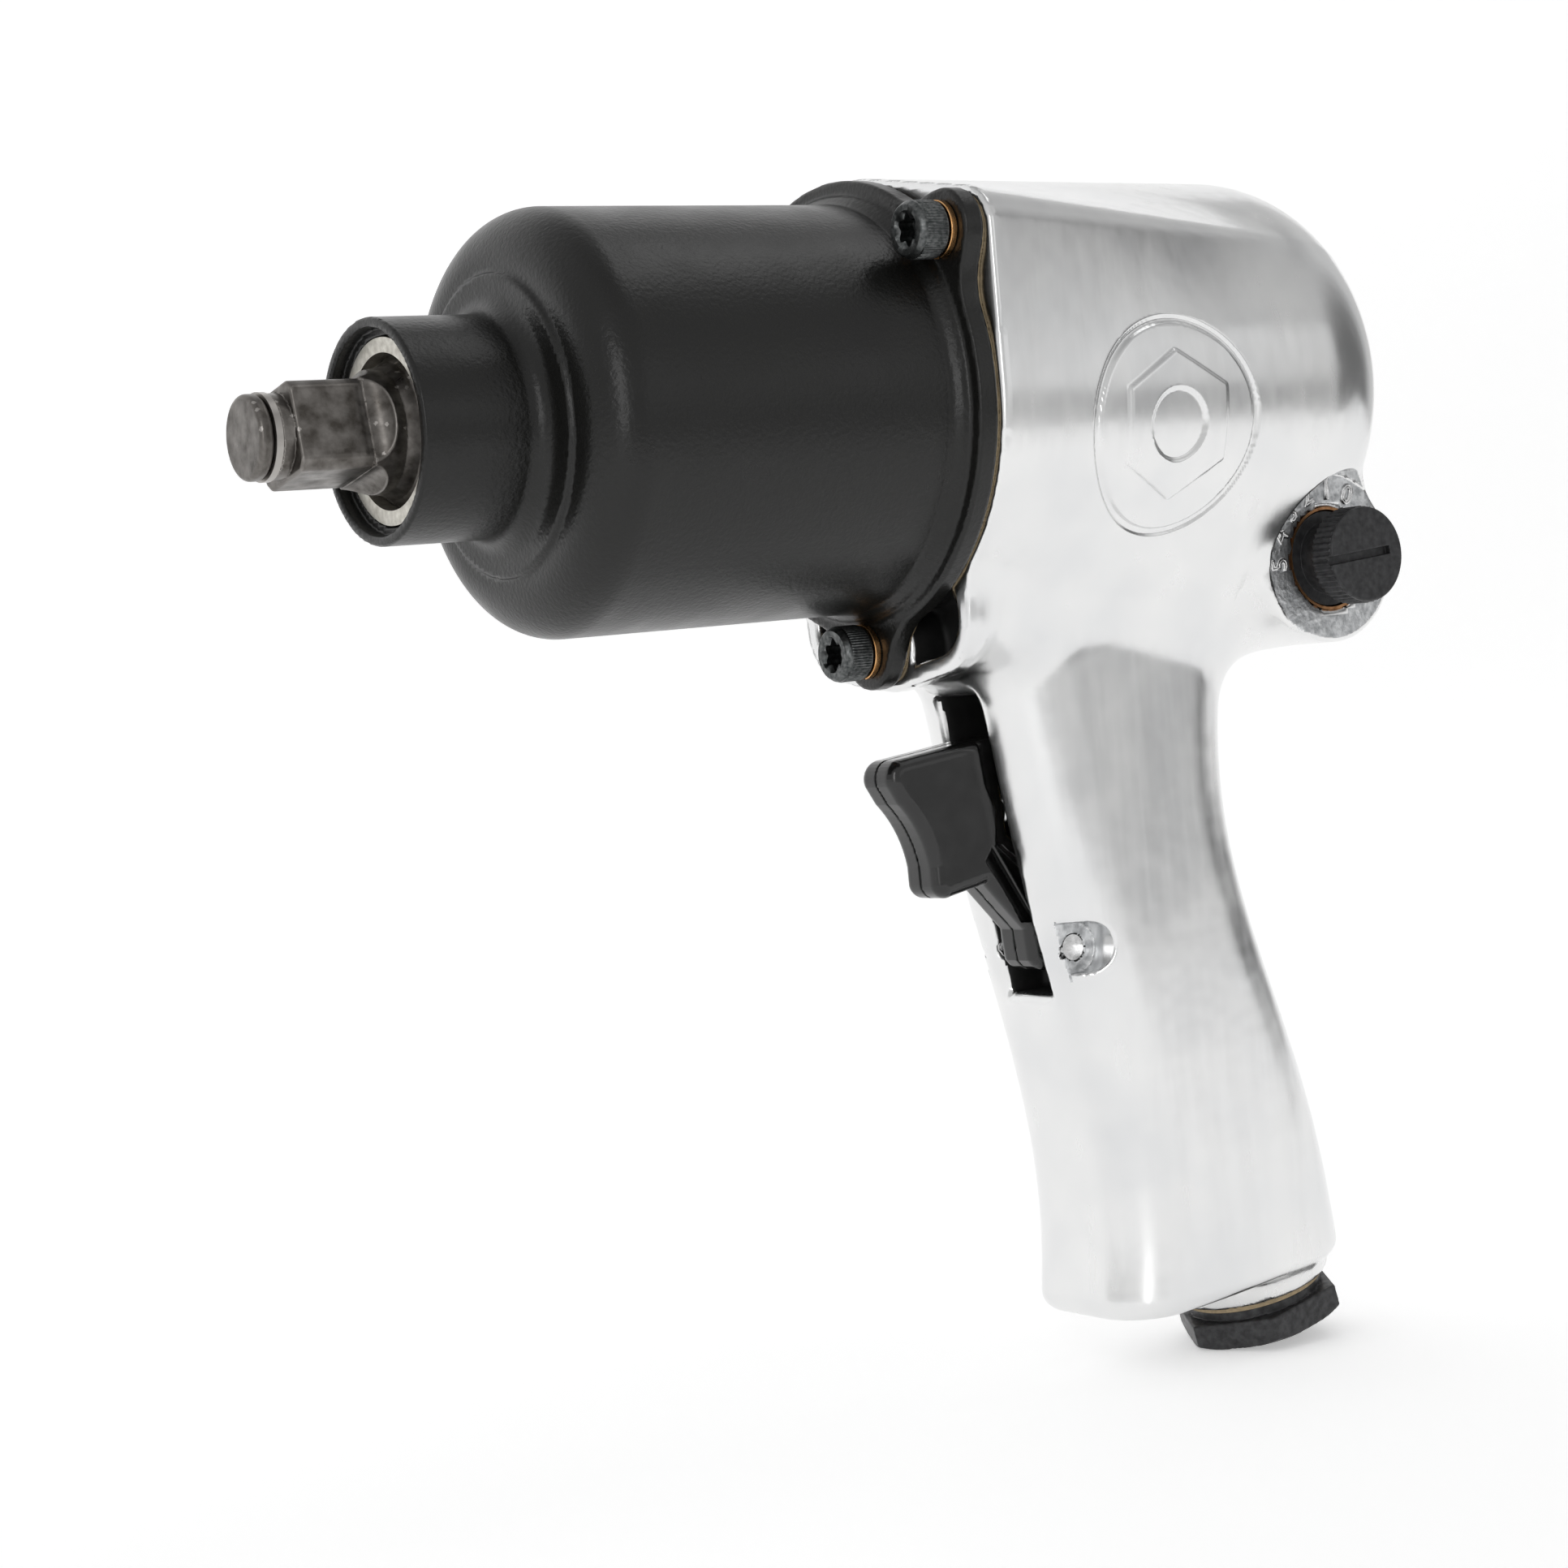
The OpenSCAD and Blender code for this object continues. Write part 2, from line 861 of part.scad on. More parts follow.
module inlet_bushing() {
    color([0.1, 0.1, 0.11])
        at_inlet()
            difference() {
                union() {
                    translate([0, 0, hex_end_w])
                        intersection() {
                            cylinder(h = hex_top_w - hex_end_w, r = inlet_hex_af / sqrt(3), $fn = 6);
                            cylinder(h = hex_top_w - hex_end_w, r1 = inlet_hex_af / 2 + 0.1, r2 = inlet_hex_af / 2 + 8);
                        }
                    translate([0, 0, hex_top_w - 1])
                        cylinder(h = collar_top_w - hex_top_w + 1, r = collar_r);
                    translate([0, 0, collar_top_w - 1])
                        cylinder(h = thread_top_w - collar_top_w + 1, r = 9.45);
                }
                translate([0, 0, hex_end_w - 1])
                    cylinder(h = 15, r = inlet_thread_r);
                translate([0, 0, hex_end_w])
                    cylinder(h = 40, r = 4.9);
            }
}

module inlet_washer() {
    color([0.2, 0.2, 0.2])
        at_inlet()
            difference() {
                translate([0, 0, collar_top_w])
                    cylinder(h = boss_end_w - collar_top_w, r = 11.4);
                translate([0, 0, collar_top_w - 1])
                    cylinder(h = 4, r = 9.6);
            }
}

// Strainer: a thin cup of wire mesh in the bushing
module inlet_screen() {
    color("lightgray")
        at_inlet()
            translate([0, 0, screen_low_w])
                difference() {
                    cylinder(h = 10, r = 4.8);
                    translate([0, 0, -1])
                        cylinder(h = 10.5, r = 4.4);
                }
}

module exhaust_muffler() {
    color([0.55, 0.5, 0.42])
        at_inlet()
            translate([13.9, -9.2, -75])
                cube([7.8, 18.4, 20]);
}

module exhaust_screen() {
    color("dimgray")
        at_inlet()
            difference() {
                translate([13.7, -9.4, -77.5])
                    cube([8.2, 18.8, 1.2]);
                for (u = [16.2:3.2:19.4], y = [-6:4:6])
                    translate([u, y, -79])
                        cylinder(h = 4, r = 1);
            }
}

// ---------------------------------------------------------------- reversing valve and regulator

module reverse_valve_bush() {
    color([0.78, 0.55, 0.28])
        at_dial()
            difference() {
                cross_disc(bush_r, -dial_face_y + 0.3, dial_face_y - 0.3);
                cross_disc(spool_r + run_gap, -30, 30);
                cross_disc(knob_r + 0.12, 11, 30);
                // Ports towards the motor
                for (y = [-9, 9])
                    translate([0, y, 7])
                        disc(2, 0, 12);
                // Port from the throttle
                rotate([0, 49, 0])
                    disc(3, 3, 12);
                translate([0, -3, 3])
                    cylinder(h = 8, r = 1.25);
            }
}

module reversing_spool() {
    color([0.66, 0.66, 0.68])
        at_dial()
            difference() {
                cross_disc(spool_r, -20.9, 19.5);
                cross_disc(rod_r + run_gap, -13, 30);
                cross_disc(2.41, -22, -15.9);
                for (y = ring_y)
                    spool_groove(y, 0.9, 5.5);
                // Groove whose ends meet the stop pin
                spool_groove((spool_travel / 2) - 3, spool_travel / 2 + 1.3, 5.2);
                for (y = [-9, 13])
                    translate([0, y, 0])
                        disc(1.8, -10, 10);
            }
}

module spool_groove(y, half_w, floor_r) {
    difference() {
        cross_disc(spool_r + 1, y - half_w, y + half_w);
        cross_disc(floor_r, y - half_w - 1, y + half_w + 1);
    }
}

module spool_o_rings() {
    color([0.08, 0.08, 0.08])
        at_dial()
            for (y = ring_y)
                difference() {
                    cross_disc(spool_r + 0.03, y - 0.8, y + 0.8);
                    cross_disc(5.52, y - 2, y + 2);
                }
}

module spool_stop_pin() {
    color("silver")
        translate([dial_x, -3, dial_z + 5.4])
            cylinder(h = 21, r = 1.2);
}

module reverse_button() {
    color([0.08, 0.08, 0.09])
        at_dial()
            union() {
                cross_disc(6.2, -23.6, -20.92);
                cross_disc(2.4, -21, -16);
            }
}

module regulator_knob() {
    color([0.1, 0.1, 0.1])
        at_dial()
            difference() {
                union() {
                    cross_disc(knob_r, 20, 21);
                    cross_disc(5.7, 20.5, 26.5);
                    cross_disc(knob_r, 25.8, 30.1);
                }
                cross_disc(rod_r + 0.01, 15, 26);
                translate([-knob_r - 1, 29.3, -0.5])
                    cube([knob_r + 5, 2, 1]);
            }
}

module metering_rod() {
    color("silver")
        at_dial()
            difference() {
                cross_disc(rod_r, -12, 25.9);
                for (y = [-9, 13])
                    translate([0, y, 0])
                        disc(1.5, -10, 10);
            }
}

motor_housing();
hammer_case();
case_gasket();
anvil_bush();
case_screws();
spring_washers();
front_end_plate();
motor_cylinder();
rear_end_plate();
cylinder_dowel();
motor_clamp_washer();
front_bearing_outer_race();
front_bearing_inner_race();
front_bearing_balls();
front_bearing_cage();
rear_bearing_outer_race();
rear_bearing_inner_race();
rear_bearing_balls();
rear_bearing_cage();
rotor();
rotor_vanes();
hammer_cage();
hammer_pins();
front_hammer();
rear_hammer();
anvil();
socket_ring();
socket_ring_cushion();
trigger();
trigger_pin();
trigger_plunger();
plunger_bush();
throttle_valve();
valve_seat();
valve_spring();
inlet_bushing();
inlet_washer();
inlet_screen();
exhaust_muffler();
exhaust_screen();
reverse_valve_bush();
reversing_spool();
spool_o_rings();
spool_stop_pin();
reverse_button();
regulator_knob();
metering_rod();
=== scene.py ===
"""A half-inch square drive impact wrench, built round its CAD frame.

Organic pieces are written as distance fields in millimetres, negative inside, and meshed. Turned
pieces are lathed. +X is forward along the spindle, +Y the operator's left and +Z up.
"""

import json
import math

import bmesh
import bpy
import numpy as np
import openvdb
from mathutils import Matrix, Vector


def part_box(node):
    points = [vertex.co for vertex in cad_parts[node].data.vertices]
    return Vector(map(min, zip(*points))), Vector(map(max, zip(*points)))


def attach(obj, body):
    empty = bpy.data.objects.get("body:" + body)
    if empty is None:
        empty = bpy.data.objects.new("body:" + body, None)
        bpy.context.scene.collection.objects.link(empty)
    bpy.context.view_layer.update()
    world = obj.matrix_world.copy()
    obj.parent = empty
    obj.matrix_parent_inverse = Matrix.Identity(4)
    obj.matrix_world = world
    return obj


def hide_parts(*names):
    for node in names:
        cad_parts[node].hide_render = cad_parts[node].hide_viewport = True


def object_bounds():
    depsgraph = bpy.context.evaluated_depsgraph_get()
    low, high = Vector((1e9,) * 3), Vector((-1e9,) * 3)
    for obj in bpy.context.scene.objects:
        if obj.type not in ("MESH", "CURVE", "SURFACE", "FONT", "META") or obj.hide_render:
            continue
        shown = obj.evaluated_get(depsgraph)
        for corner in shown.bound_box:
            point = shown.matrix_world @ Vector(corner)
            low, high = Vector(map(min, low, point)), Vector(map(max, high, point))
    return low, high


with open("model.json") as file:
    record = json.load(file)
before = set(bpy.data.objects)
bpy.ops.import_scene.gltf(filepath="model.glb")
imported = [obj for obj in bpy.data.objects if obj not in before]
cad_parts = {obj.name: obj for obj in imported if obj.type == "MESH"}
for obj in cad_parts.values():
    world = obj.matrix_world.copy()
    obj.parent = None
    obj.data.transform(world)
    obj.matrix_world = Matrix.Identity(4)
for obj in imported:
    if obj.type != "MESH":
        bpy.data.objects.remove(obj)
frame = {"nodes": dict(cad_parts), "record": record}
cad_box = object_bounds()
MM = 0.001


def box_mm(node):
    """Lowest and highest corner of a CAD node, in millimetres."""
    low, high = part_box(node)
    return np.array(low) / MM, np.array(high) / MM


# ---------------------------------------------------------------- stations from the frame
CASE_LOW, CASE_HIGH = box_mm("hammer_case")
HOUSING_LOW, HOUSING_HIGH = box_mm("motor_housing")
KNOB_LOW, KNOB_HIGH = box_mm("regulator_knob")
TRIGGER_LOW, TRIGGER_HIGH = box_mm("trigger")
PIN_LOW, PIN_HIGH = box_mm("trigger_pin")
ANVIL_LOW, ANVIL_HIGH = box_mm("anvil")
SCREW_LOW, SCREW_HIGH = box_mm("case_screws")
WASHER_LOW, WASHER_HIGH = box_mm("spring_washers")

NOSE_X = CASE_HIGH[0]
FLANGE_REAR_X = CASE_LOW[0]
FLANGE_FRONT_X = FLANGE_REAR_X + 3.4
HOUSING_FACE_X = HOUSING_HIGH[0]
HOUSING_REAR_X = HOUSING_LOW[0]
DIAL_X = (KNOB_LOW[0] + KNOB_HIGH[0]) / 2
DIAL_Z = (KNOB_LOW[2] + KNOB_HIGH[2]) / 2
PIN_X = (PIN_LOW[0] + PIN_HIGH[0]) / 2
PIN_Z = (PIN_LOW[2] + PIN_HIGH[2]) / 2

# Hammer case
NOSE_R = 15.8
CASE_R = 30.65
CASE_BORE_R = 27.2
SHOULDER_X = -18.6
SHOULDER_R = 7.5
REAR_R = 21
FLANGE_R = 34.2
SCREW_CIRCLE_R = 36.5
SCREW_ANGLES = (38.7, 141.3, 270)
EAR_R = 5.95

# Housing
BARREL_R = 34.5
BARREL_TAPER = 0.012
EAR_RUN = 64
DIAL_R = 13.3
DIAL_FACE_Y = 21.6
MOTOR_BORE_R = 28.25
MOTOR_FLOOR_X = -137.5
HANDLE_HALF_W = 16
HANDLE_CORNER_R = 11
HANDLE_BOTTOM_Z = -144.3
SLOT_HALF_W = 5.1
SLOT_X, SLOT_Z = (-110.5, -60), (-92, -44.6)
PIN_FLOOR_Y = 10.3
PLUNGER_Z = -63
BADGE_X, BADGE_Z, BADGE_R = -115, -7, 15.6

# Inlet axis: local w runs up the handle
INLET_X, INLET_Z = -124, -62
INLET_LEAN = math.radians(12.8)
BOSS_END_W = -84.7
GRIP_END_W = -83.1
HEX_AF = 24
HEX_TOP_W = BOSS_END_W - 2.4
HEX_END_W = HEX_TOP_W - 4.5


# ---------------------------------------------------------------- distance fields
def round_max(a, b, r):
    """Intersection of two fields whose outer edge has radius r."""
    corner = np.hypot(np.maximum(a + r, 0), np.maximum(b + r, 0))
    return np.minimum(np.maximum(a, b), -r) + corner


def round_min(a, b, r):
    """Union of two fields with a fillet of radius r between them."""
    return -round_max(-a, -b, r)


def tapered(u, v, a, ra, b, rb):
    """Distance in a plane to the hull of two circles."""
    du, dv = b[0] - a[0], b[1] - a[1]
    length = np.hypot(du, dv)
    lean = np.clip((ra - rb) / length, -0.999, 0.999)
    along = ((u - a[0]) * du + (v - a[1]) * dv) / length
    across = np.abs((u - a[0]) * dv - (v - a[1]) * du) / length
    t = np.clip((along - across * lean / np.sqrt(1 - lean * lean)) / length, 0, 1)
    return np.hypot(along - t * length, across) - ra + t * (ra - rb)


def polygon(u, v, points):
    """Signed distance in a plane to a closed outline."""
    nearest = np.inf
    inside = False
    for (au, av), (bu, bv) in zip(points, points[1:] + points[:1]):
        eu, ev = bu - au, bv - av
        t = np.clip(((u - au) * eu + (v - av) * ev) / (eu * eu + ev * ev), 0, 1)
        nearest = np.minimum(nearest, (u - au - t * eu) ** 2 + (v - av - t * ev) ** 2)
        crosses = (av > v) != (bv > v)
        if ev:
            crosses = crosses & (u < au + (v - av) * eu / ev)
        inside = inside ^ crosses
    return np.where(inside, -1, 1) * np.sqrt(nearest)


def arc(cu, cv, r, start, end, count=10):
    """Points on an arc, with its angles in degrees."""
    turns = np.radians(np.linspace(start, end, count))
    return [(cu + r * math.cos(t), cv + r * math.sin(t)) for t in turns]


def smooth_line(points, degree=5):
    """A smooth curve x(z) through a few (z, x) points."""
    zs, xs = zip(*points)
    return np.polynomial.Polynomial.fit(zs, xs, degree)


def slab(value, low, high):
    return np.maximum(low - value, value - high)


def inlet_axes(x, z):
    """Coordinates across and along the inlet axis."""
    u = (x - INLET_X) * math.cos(INLET_LEAN) - (z - INLET_Z) * math.sin(INLET_LEAN)
    w = (x - INLET_X) * math.sin(INLET_LEAN) + (z - INLET_Z) * math.cos(INLET_LEAN)
    return u, w


# ---------------------------------------------------------------- meshing
def field_gradient(field, p, h=0.03):
    rows = []
    for axis in range(3):
        ahead, behind = p.copy(), p.copy()
        ahead[:, axis] += h
        behind[:, axis] -= h
        rows.append((field(*ahead.T) - field(*behind.T)) / (2 * h))
    return np.stack(rows, axis=1)


def settle(field, p, reach):
    """Moves points onto the surface of a field."""
    for _ in range(3):
        g = field_gradient(field, p)
        move = (field(*p.T) / np.maximum((g * g).sum(1), 0.3))[:, None] * g
        size = np.linalg.norm(move, axis=1, keepdims=True)
        p = p - move * np.minimum(1, reach / np.maximum(size, 1e-9))
    return p


def mesh_object(name, points, faces, smooth=True):
    mesh = bpy.data.meshes.new(name)
    mesh.from_pydata((np.asarray(points) * MM).tolist(), [], [list(f) for f in faces])
    mesh.validate()
    mesh.update()
    if smooth:
        mesh.shade_smooth()
    obj = bpy.data.objects.new(name, mesh)
    bpy.context.scene.collection.objects.link(obj)
    return obj


def refine(points, faces, wanted, cuts):
    """Splits the faces whose centres are wanted."""
    centres = points[faces].mean(axis=1)
    chosen = np.nonzero(wanted(*centres.T))[0]
    bm = bmesh.new()
    mesh = bpy.data.meshes.new("refined")
    mesh.from_pydata(points.tolist(), [], faces.tolist())
    bm.from_mesh(mesh)
    bm.faces.ensure_lookup_table()
    edges = {e for i in chosen for e in bm.faces[i].edges}
    bmesh.ops.subdivide_edges(bm, edges=list(edges), cuts=cuts, use_grid_fill=True)
    bm.verts.index_update()
    points = np.array([v.co for v in bm.verts])
    faces = [[v.index for v in f.verts] for f in bm.faces]
    bm.free()
    bpy.data.meshes.remove(mesh)
    return points, faces


def solid(name, field, low, high, step, wanted=None, cuts=2, relief=None):
    """Meshes a distance field between two corners, with finer faces where wanted."""
    low = np.array(low, float) - 2.3 * step
    counts = np.ceil((np.array(high) + 2.3 * step - low) / step).astype(int) + 1
    x, y, z = (low[i] + step * np.arange(counts[i]) for i in range(3))
    x, y, z = x[:, None, None], y[None, :, None], z[None, None, :]
    values = np.broadcast_to(field(x, y, z), counts)
    values = np.ascontiguousarray(np.clip(values, -5, 5), dtype=np.float32)
    grid = openvdb.FloatGrid(5.0)
    grid.copyFromArray(values)
    points, faces = grid.convertToQuads(0.0)
    points = low + np.asarray(points, float) * step
    faces = np.asarray(faces, int)
    points = settle(field, points, step / 2)
    probe = faces[:: max(1, len(faces) // 2000)]
    normal = np.cross(points[probe[:, 2]] - points[probe[:, 0]], points[probe[:, 3]] - points[probe[:, 1]])
    outward = field_gradient(field, points[probe].mean(axis=1))
    if (normal * outward).sum() < 0:
        faces = faces[:, ::-1]
    if wanted is not None:
        points, faces = refine(points, faces, wanted, cuts)
        points = settle(field, points, step / 3)
    normals = field_gradient(field, points, 0.06)
    normals /= np.maximum(np.linalg.norm(normals, axis=1, keepdims=True), 1e-9)
    if relief is not None:
        points = points + normals * relief(*points.T)[:, None]
    obj = mesh_object(name, points, faces)
    if relief is None:
        obj.data.normals_split_custom_set_from_vertices(normals.tolist())
    return obj


def lathe(name, profile, segments, place):
    """Turns a profile of (radius, height, knurl depth, lobe depth) about the local z axis."""
    points, faces = [], []
    for radius, height, knurl, lobe in profile:
        for i in range(segments):
            angle = 2 * math.pi * i / segments
            r = radius - knurl * (i % 4 in (0, 1)) + lobe * math.cos(6 * angle)
            points.append((r * math.cos(angle), r * math.sin(angle), height))
    for j in range(len(profile) - 1):
        for i in range(segments):
            a, b = j * segments + i, j * segments + (i + 1) % segments
            faces.append((a, b, b + segments, a + segments))
    faces.append(range(segments - 1, -1, -1))
    faces.append(range((len(profile) - 1) * segments, len(profile) * segments))
    return transformed(name, points, faces, place)


def transformed(name, points, faces, place):
    """A mesh object whose points, in millimetres, are put in place by one matrix."""
    placed = [place @ Vector(p) for p in points]
    return mesh_object(name, [tuple(p) for p in placed], faces)


def joined(name, parts):
    """Several mesh objects as one."""
    bm = bmesh.new()
    for part in parts:
        bm.from_mesh(part.data)
        old = part.data
        bpy.data.objects.remove(part)
        bpy.data.meshes.remove(old)
    mesh = bpy.data.meshes.new(name)
    bm.to_mesh(mesh)
    bm.free()
    obj = bpy.data.objects.new(name, mesh)
    bpy.context.scene.collection.objects.link(obj)
    return obj


def sharpen(obj, angle=35):
    """Keeps edges crisp where faces meet at more than the angle."""
    obj.data.shade_smooth()
    obj.data.set_sharp_from_angle(angle=math.radians(angle))


# ---------------------------------------------------------------- materials
class Nodes:
    """Builds one node material with a Principled shader."""

    def __init__(self, name, metallic, roughness, color):
        self.material = bpy.data.materials.new(name)
        self.material.use_nodes = True
        self.tree = self.material.node_tree
        self.shader = self.tree.nodes["Principled BSDF"]
        self.shader.inputs["Metallic"].default_value = metallic
        self.shader.inputs["Roughness"].default_value = roughness
        self.shader.inputs["Base Color"].default_value = (*color, 1)
        self.place = self.tree.nodes.new("ShaderNodeTexCoord").outputs["Object"]

    def add(self, kind, **inputs):
        node = self.tree.nodes.new("ShaderNode" + kind)
        for key, value in inputs.items():
            socket = node.inputs[key.replace("_", " ")]
            if isinstance(value, bpy.types.NodeSocket):
                self.tree.links.new(value, socket)
            else:
                socket.default_value = value
        return node

    def noise(self, scale, detail=4, stretch=(1, 1, 1), rough=0.5):
        """Noise in object space, with its scale in features a metre."""
        spread = self.add("Mapping", Vector=self.place, Scale=stretch)
        grain = self.add("TexNoise", Vector=spread.outputs[0], Scale=scale, Detail=detail, Roughness=rough)
        return grain.outputs["Factor" if "Factor" in grain.outputs else "Fac"]

    def ramp(self, value, low, high, out_low, out_high):
        """Maps a noise value linearly to a range."""
        node = self.add("MapRange", Value=value)
        node.inputs["From Min"].default_value = low
        node.inputs["From Max"].default_value = high
        node.inputs["To Min"].default_value = out_low
        node.inputs["To Max"].default_value = out_high
        return node.outputs["Result"]

    def tint(self, value, dark, light):
        """Mixes two colours by a value and feeds the base colour."""
        node = self.add("ValToRGB", Fac=value)
        node.color_ramp.elements[0].color = (*dark, 1)
        node.color_ramp.elements[1].color = (*light, 1)
        self.tree.links.new(node.outputs["Color"], self.shader.inputs["Base Color"])
        return node

    def rough(self, value):
        self.tree.links.new(value, self.shader.inputs["Roughness"])

    def bump(self, value, depth, under=None):
        """Adds relief, with its depth in metres."""
        node = self.add("Bump", Height=value, Distance=depth, Strength=1.0)
        if under:
            self.tree.links.new(under.outputs["Normal"], node.inputs["Normal"])
        self.tree.links.new(node.outputs["Normal"], self.shader.inputs["Normal"])
        return node


def polished_aluminium():
    """Hand-polished casting: soft cloudy sheen with very fine scratches down the handle."""
    n = Nodes("polished_aluminium", 1, 0.2, (0.9, 0.9, 0.9))
    cloud = n.noise(60, 3)
    scratch = n.noise(420, 5, (1, 1, 0.08))
    n.tint(n.ramp(cloud, 0.3, 0.7, 0, 1), (0.74, 0.745, 0.75), (0.84, 0.84, 0.835))
    mixed = n.add("Math")
    mixed.operation = "ADD"
    n.tree.links.new(n.ramp(cloud, 0.3, 0.7, 0.16, 0.26), mixed.inputs[0])
    n.tree.links.new(n.ramp(scratch, 0.3, 0.7, -0.03, 0.05), mixed.inputs[1])
    n.rough(mixed.outputs[0])
    first = n.bump(n.noise(90, 2), 0.00012)
    n.bump(scratch, 0.000012, first)
    return n.material


def cast_dial():
    """Rough unpolished cast face of the dial."""
    n = Nodes("cast_dial", 1, 0.4, (0.62, 0.63, 0.64))
    pits = n.noise(900, 6)
    n.tint(n.ramp(pits, 0.35, 0.65, 0, 1), (0.42, 0.43, 0.44), (0.74, 0.75, 0.76))
    n.rough(n.ramp(pits, 0.3, 0.7, 0.5, 0.3))
    n.bump(pits, 0.0002)
    return n.material


def black_case():
    """Black powder coat on steel, with an orange-peel surface."""
    n = Nodes("black_case", 0, 0.36, (0.012, 0.012, 0.012))
    n.shader.inputs["Specular IOR Level"].default_value = 0.4
    peel = n.noise(1500, 2)
    n.tint(n.noise(40, 2), (0.004, 0.004, 0.004), (0.007, 0.007, 0.006))
    n.rough(n.ramp(n.noise(120, 3), 0.3, 0.7, 0.27, 0.36))
    n.bump(peel, 0.00007)
    return n.material


def brushed(name, dark, light, rough, grain=1200, stretch=(1, 1, 1), depth=0.00002, metallic=1):
    """Machined or treated metal with a fine grain."""
    n = Nodes(name, metallic, rough, light)
    grit = n.noise(grain, 5, stretch)
    n.tint(n.ramp(grit, 0.32, 0.68, 0, 1), dark, light)
    n.rough(n.ramp(grit, 0.3, 0.7, rough + 0.08, rough - 0.06))
    n.bump(grit, depth)
    return n.material


def worn_steel():
    """Dark drive steel, rubbed bright on its convex edges."""
    n = Nodes("worn_steel", 1, 0.36, (0.2, 0.18, 0.16))
    grit = n.noise(700, 6, (0.3, 1, 1))
    shape = n.add("NewGeometry")
    edge = n.ramp(shape.outputs["Pointiness"], 0.5, 0.58, 0, 1)
    blotch = n.ramp(n.noise(420, 6), 0.35, 0.7, 0, 0.42)
    both = n.add("Math")
    both.operation = "MAXIMUM"
    n.tree.links.new(edge, both.inputs[0])
    n.tree.links.new(blotch, both.inputs[1])
    n.tint(both.outputs[0], (0.07, 0.063, 0.056), (0.4, 0.38, 0.36))
    n.rough(n.ramp(grit, 0.3, 0.7, 0.45, 0.27))
    n.bump(grit, 0.00005)
    return n.material


def moulded(name, color, rough, coat=0.0, grain=600, depth=0.00003):
    """Moulded plastic, rubber or fibre."""
    n = Nodes(name, 0, rough, color)
    n.shader.inputs["Coat Weight"].default_value = coat
    n.shader.inputs["Coat Roughness"].default_value = 0.08
    grit = n.noise(grain, 4)
    light = tuple(min(1, c * 1.35 + 0.002) for c in color)
    n.tint(n.ramp(grit, 0.35, 0.65, 0, 1), color, light)
    n.rough(n.ramp(grit, 0.3, 0.7, rough - 0.04, rough + 0.06))
    n.bump(grit, depth)
    return n.material


SLOT_MATERIALS = {
    "polished_aluminium": polished_aluminium(),
    "black_case": black_case(),
    "gasket_fibre": moulded("gasket_fibre", (0.26, 0.2, 0.12), 0.75, grain=1800, depth=0.0001),
    "bush_metal": brushed("bush_metal", (0.5, 0.48, 0.43), (0.72, 0.7, 0.64), 0.42, 900),
    "phosphate_steel": brushed("phosphate_steel", (0.05, 0.055, 0.055), (0.16, 0.165, 0.165), 0.36, 1600),
    "copper_washer": brushed("copper_washer", (0.55, 0.28, 0.1), (0.9, 0.52, 0.24), 0.24, 700),
    "plain_steel": brushed("plain_steel", (0.4, 0.4, 0.4), (0.62, 0.62, 0.62), 0.3),
    "bright_steel": brushed("bright_steel", (0.55, 0.55, 0.55), (0.8, 0.8, 0.8), 0.18),
    "hardened_steel": worn_steel(),
    "vane_fibre": moulded("vane_fibre", (0.2, 0.11, 0.05), 0.6),
    "brass_parts": brushed("brass_parts", (0.6, 0.45, 0.16), (0.82, 0.64, 0.28), 0.26),
    "valve_bronze": brushed("valve_bronze", (0.26, 0.12, 0.05), (0.55, 0.3, 0.15), 0.34, 800),
    "gloss_black_plastic": moulded("gloss_black_plastic", (0.005, 0.005, 0.005), 0.16, 0.2, 300, 0.00001),
    "black_rubber": moulded("black_rubber", (0.006, 0.006, 0.006), 0.6),
    "black_steel": brushed("black_steel", (0.02, 0.02, 0.021), (0.05, 0.05, 0.052), 0.42, 900, metallic=0.4),
    "muffler_felt": moulded("muffler_felt", (0.3, 0.27, 0.2), 0.9, grain=2500, depth=0.0003),
}


def finish_piece(obj, body, slot, material=None):
    """Gives a piece its material and parents it to the empty of its body."""
    obj.data.materials.clear()
    obj.data.materials.append(material or SLOT_MATERIALS[slot])
    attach(obj, body)


# ---------------------------------------------------------------- housing
HANDLE_FRONT = smooth_line([
    (-36, -91.5), (-44.5, -93.6), (-55, -95.2), (-84, -101), (-92, -102.2), (-100, -104.2), (-108, -106),
    (-116.5, -107.3), (-124, -107.7), (-132, -107.4), (-144, -106.2),
])
HANDLE_REAR = smooth_line([
    (-34, -142), (-49, -139.6), (-56.6, -137.8), (-64, -137.4), (-72, -138.7), (-80, -140.5), (-88, -142.5),
    (-96, -145), (-104.6, -147.3), (-113, -149.7), (-121, -151.3), (-129, -152.9), (-137, -154),
    (-146, -154.8),
])


def barrel(x, side, z):
    """Round barrel with two upper ridges that fade from the screw ears to the back."""
    behind = np.clip((HOUSING_FACE_X - x) / EAR_RUN, 0, 1)
    girth = BARREL_R - BARREL_TAPER * (HOUSING_FACE_X - x)
    ear_r = EAR_R + 0.4 - 3 * behind
    reach = girth + (SCREW_CIRCLE_R + EAR_R + 0.4 - BARREL_R) * (1 - behind) + 0.1
    turn = math.radians(SCREW_ANGLES[0])
    ear = (reach - ear_r) * math.cos(turn), (reach - ear_r) * math.sin(turn)
    section = tapered(side, z, (0, 0), girth, ear, ear_r)
    return round_max(section, HOUSING_REAR_X - x, REAR_R)


def lobe_section(side, z):
    return tapered(side, z, (0, -SCREW_CIRCLE_R + 0.2), EAR_R + 0.9, (12.5, -32.2), 8.9)


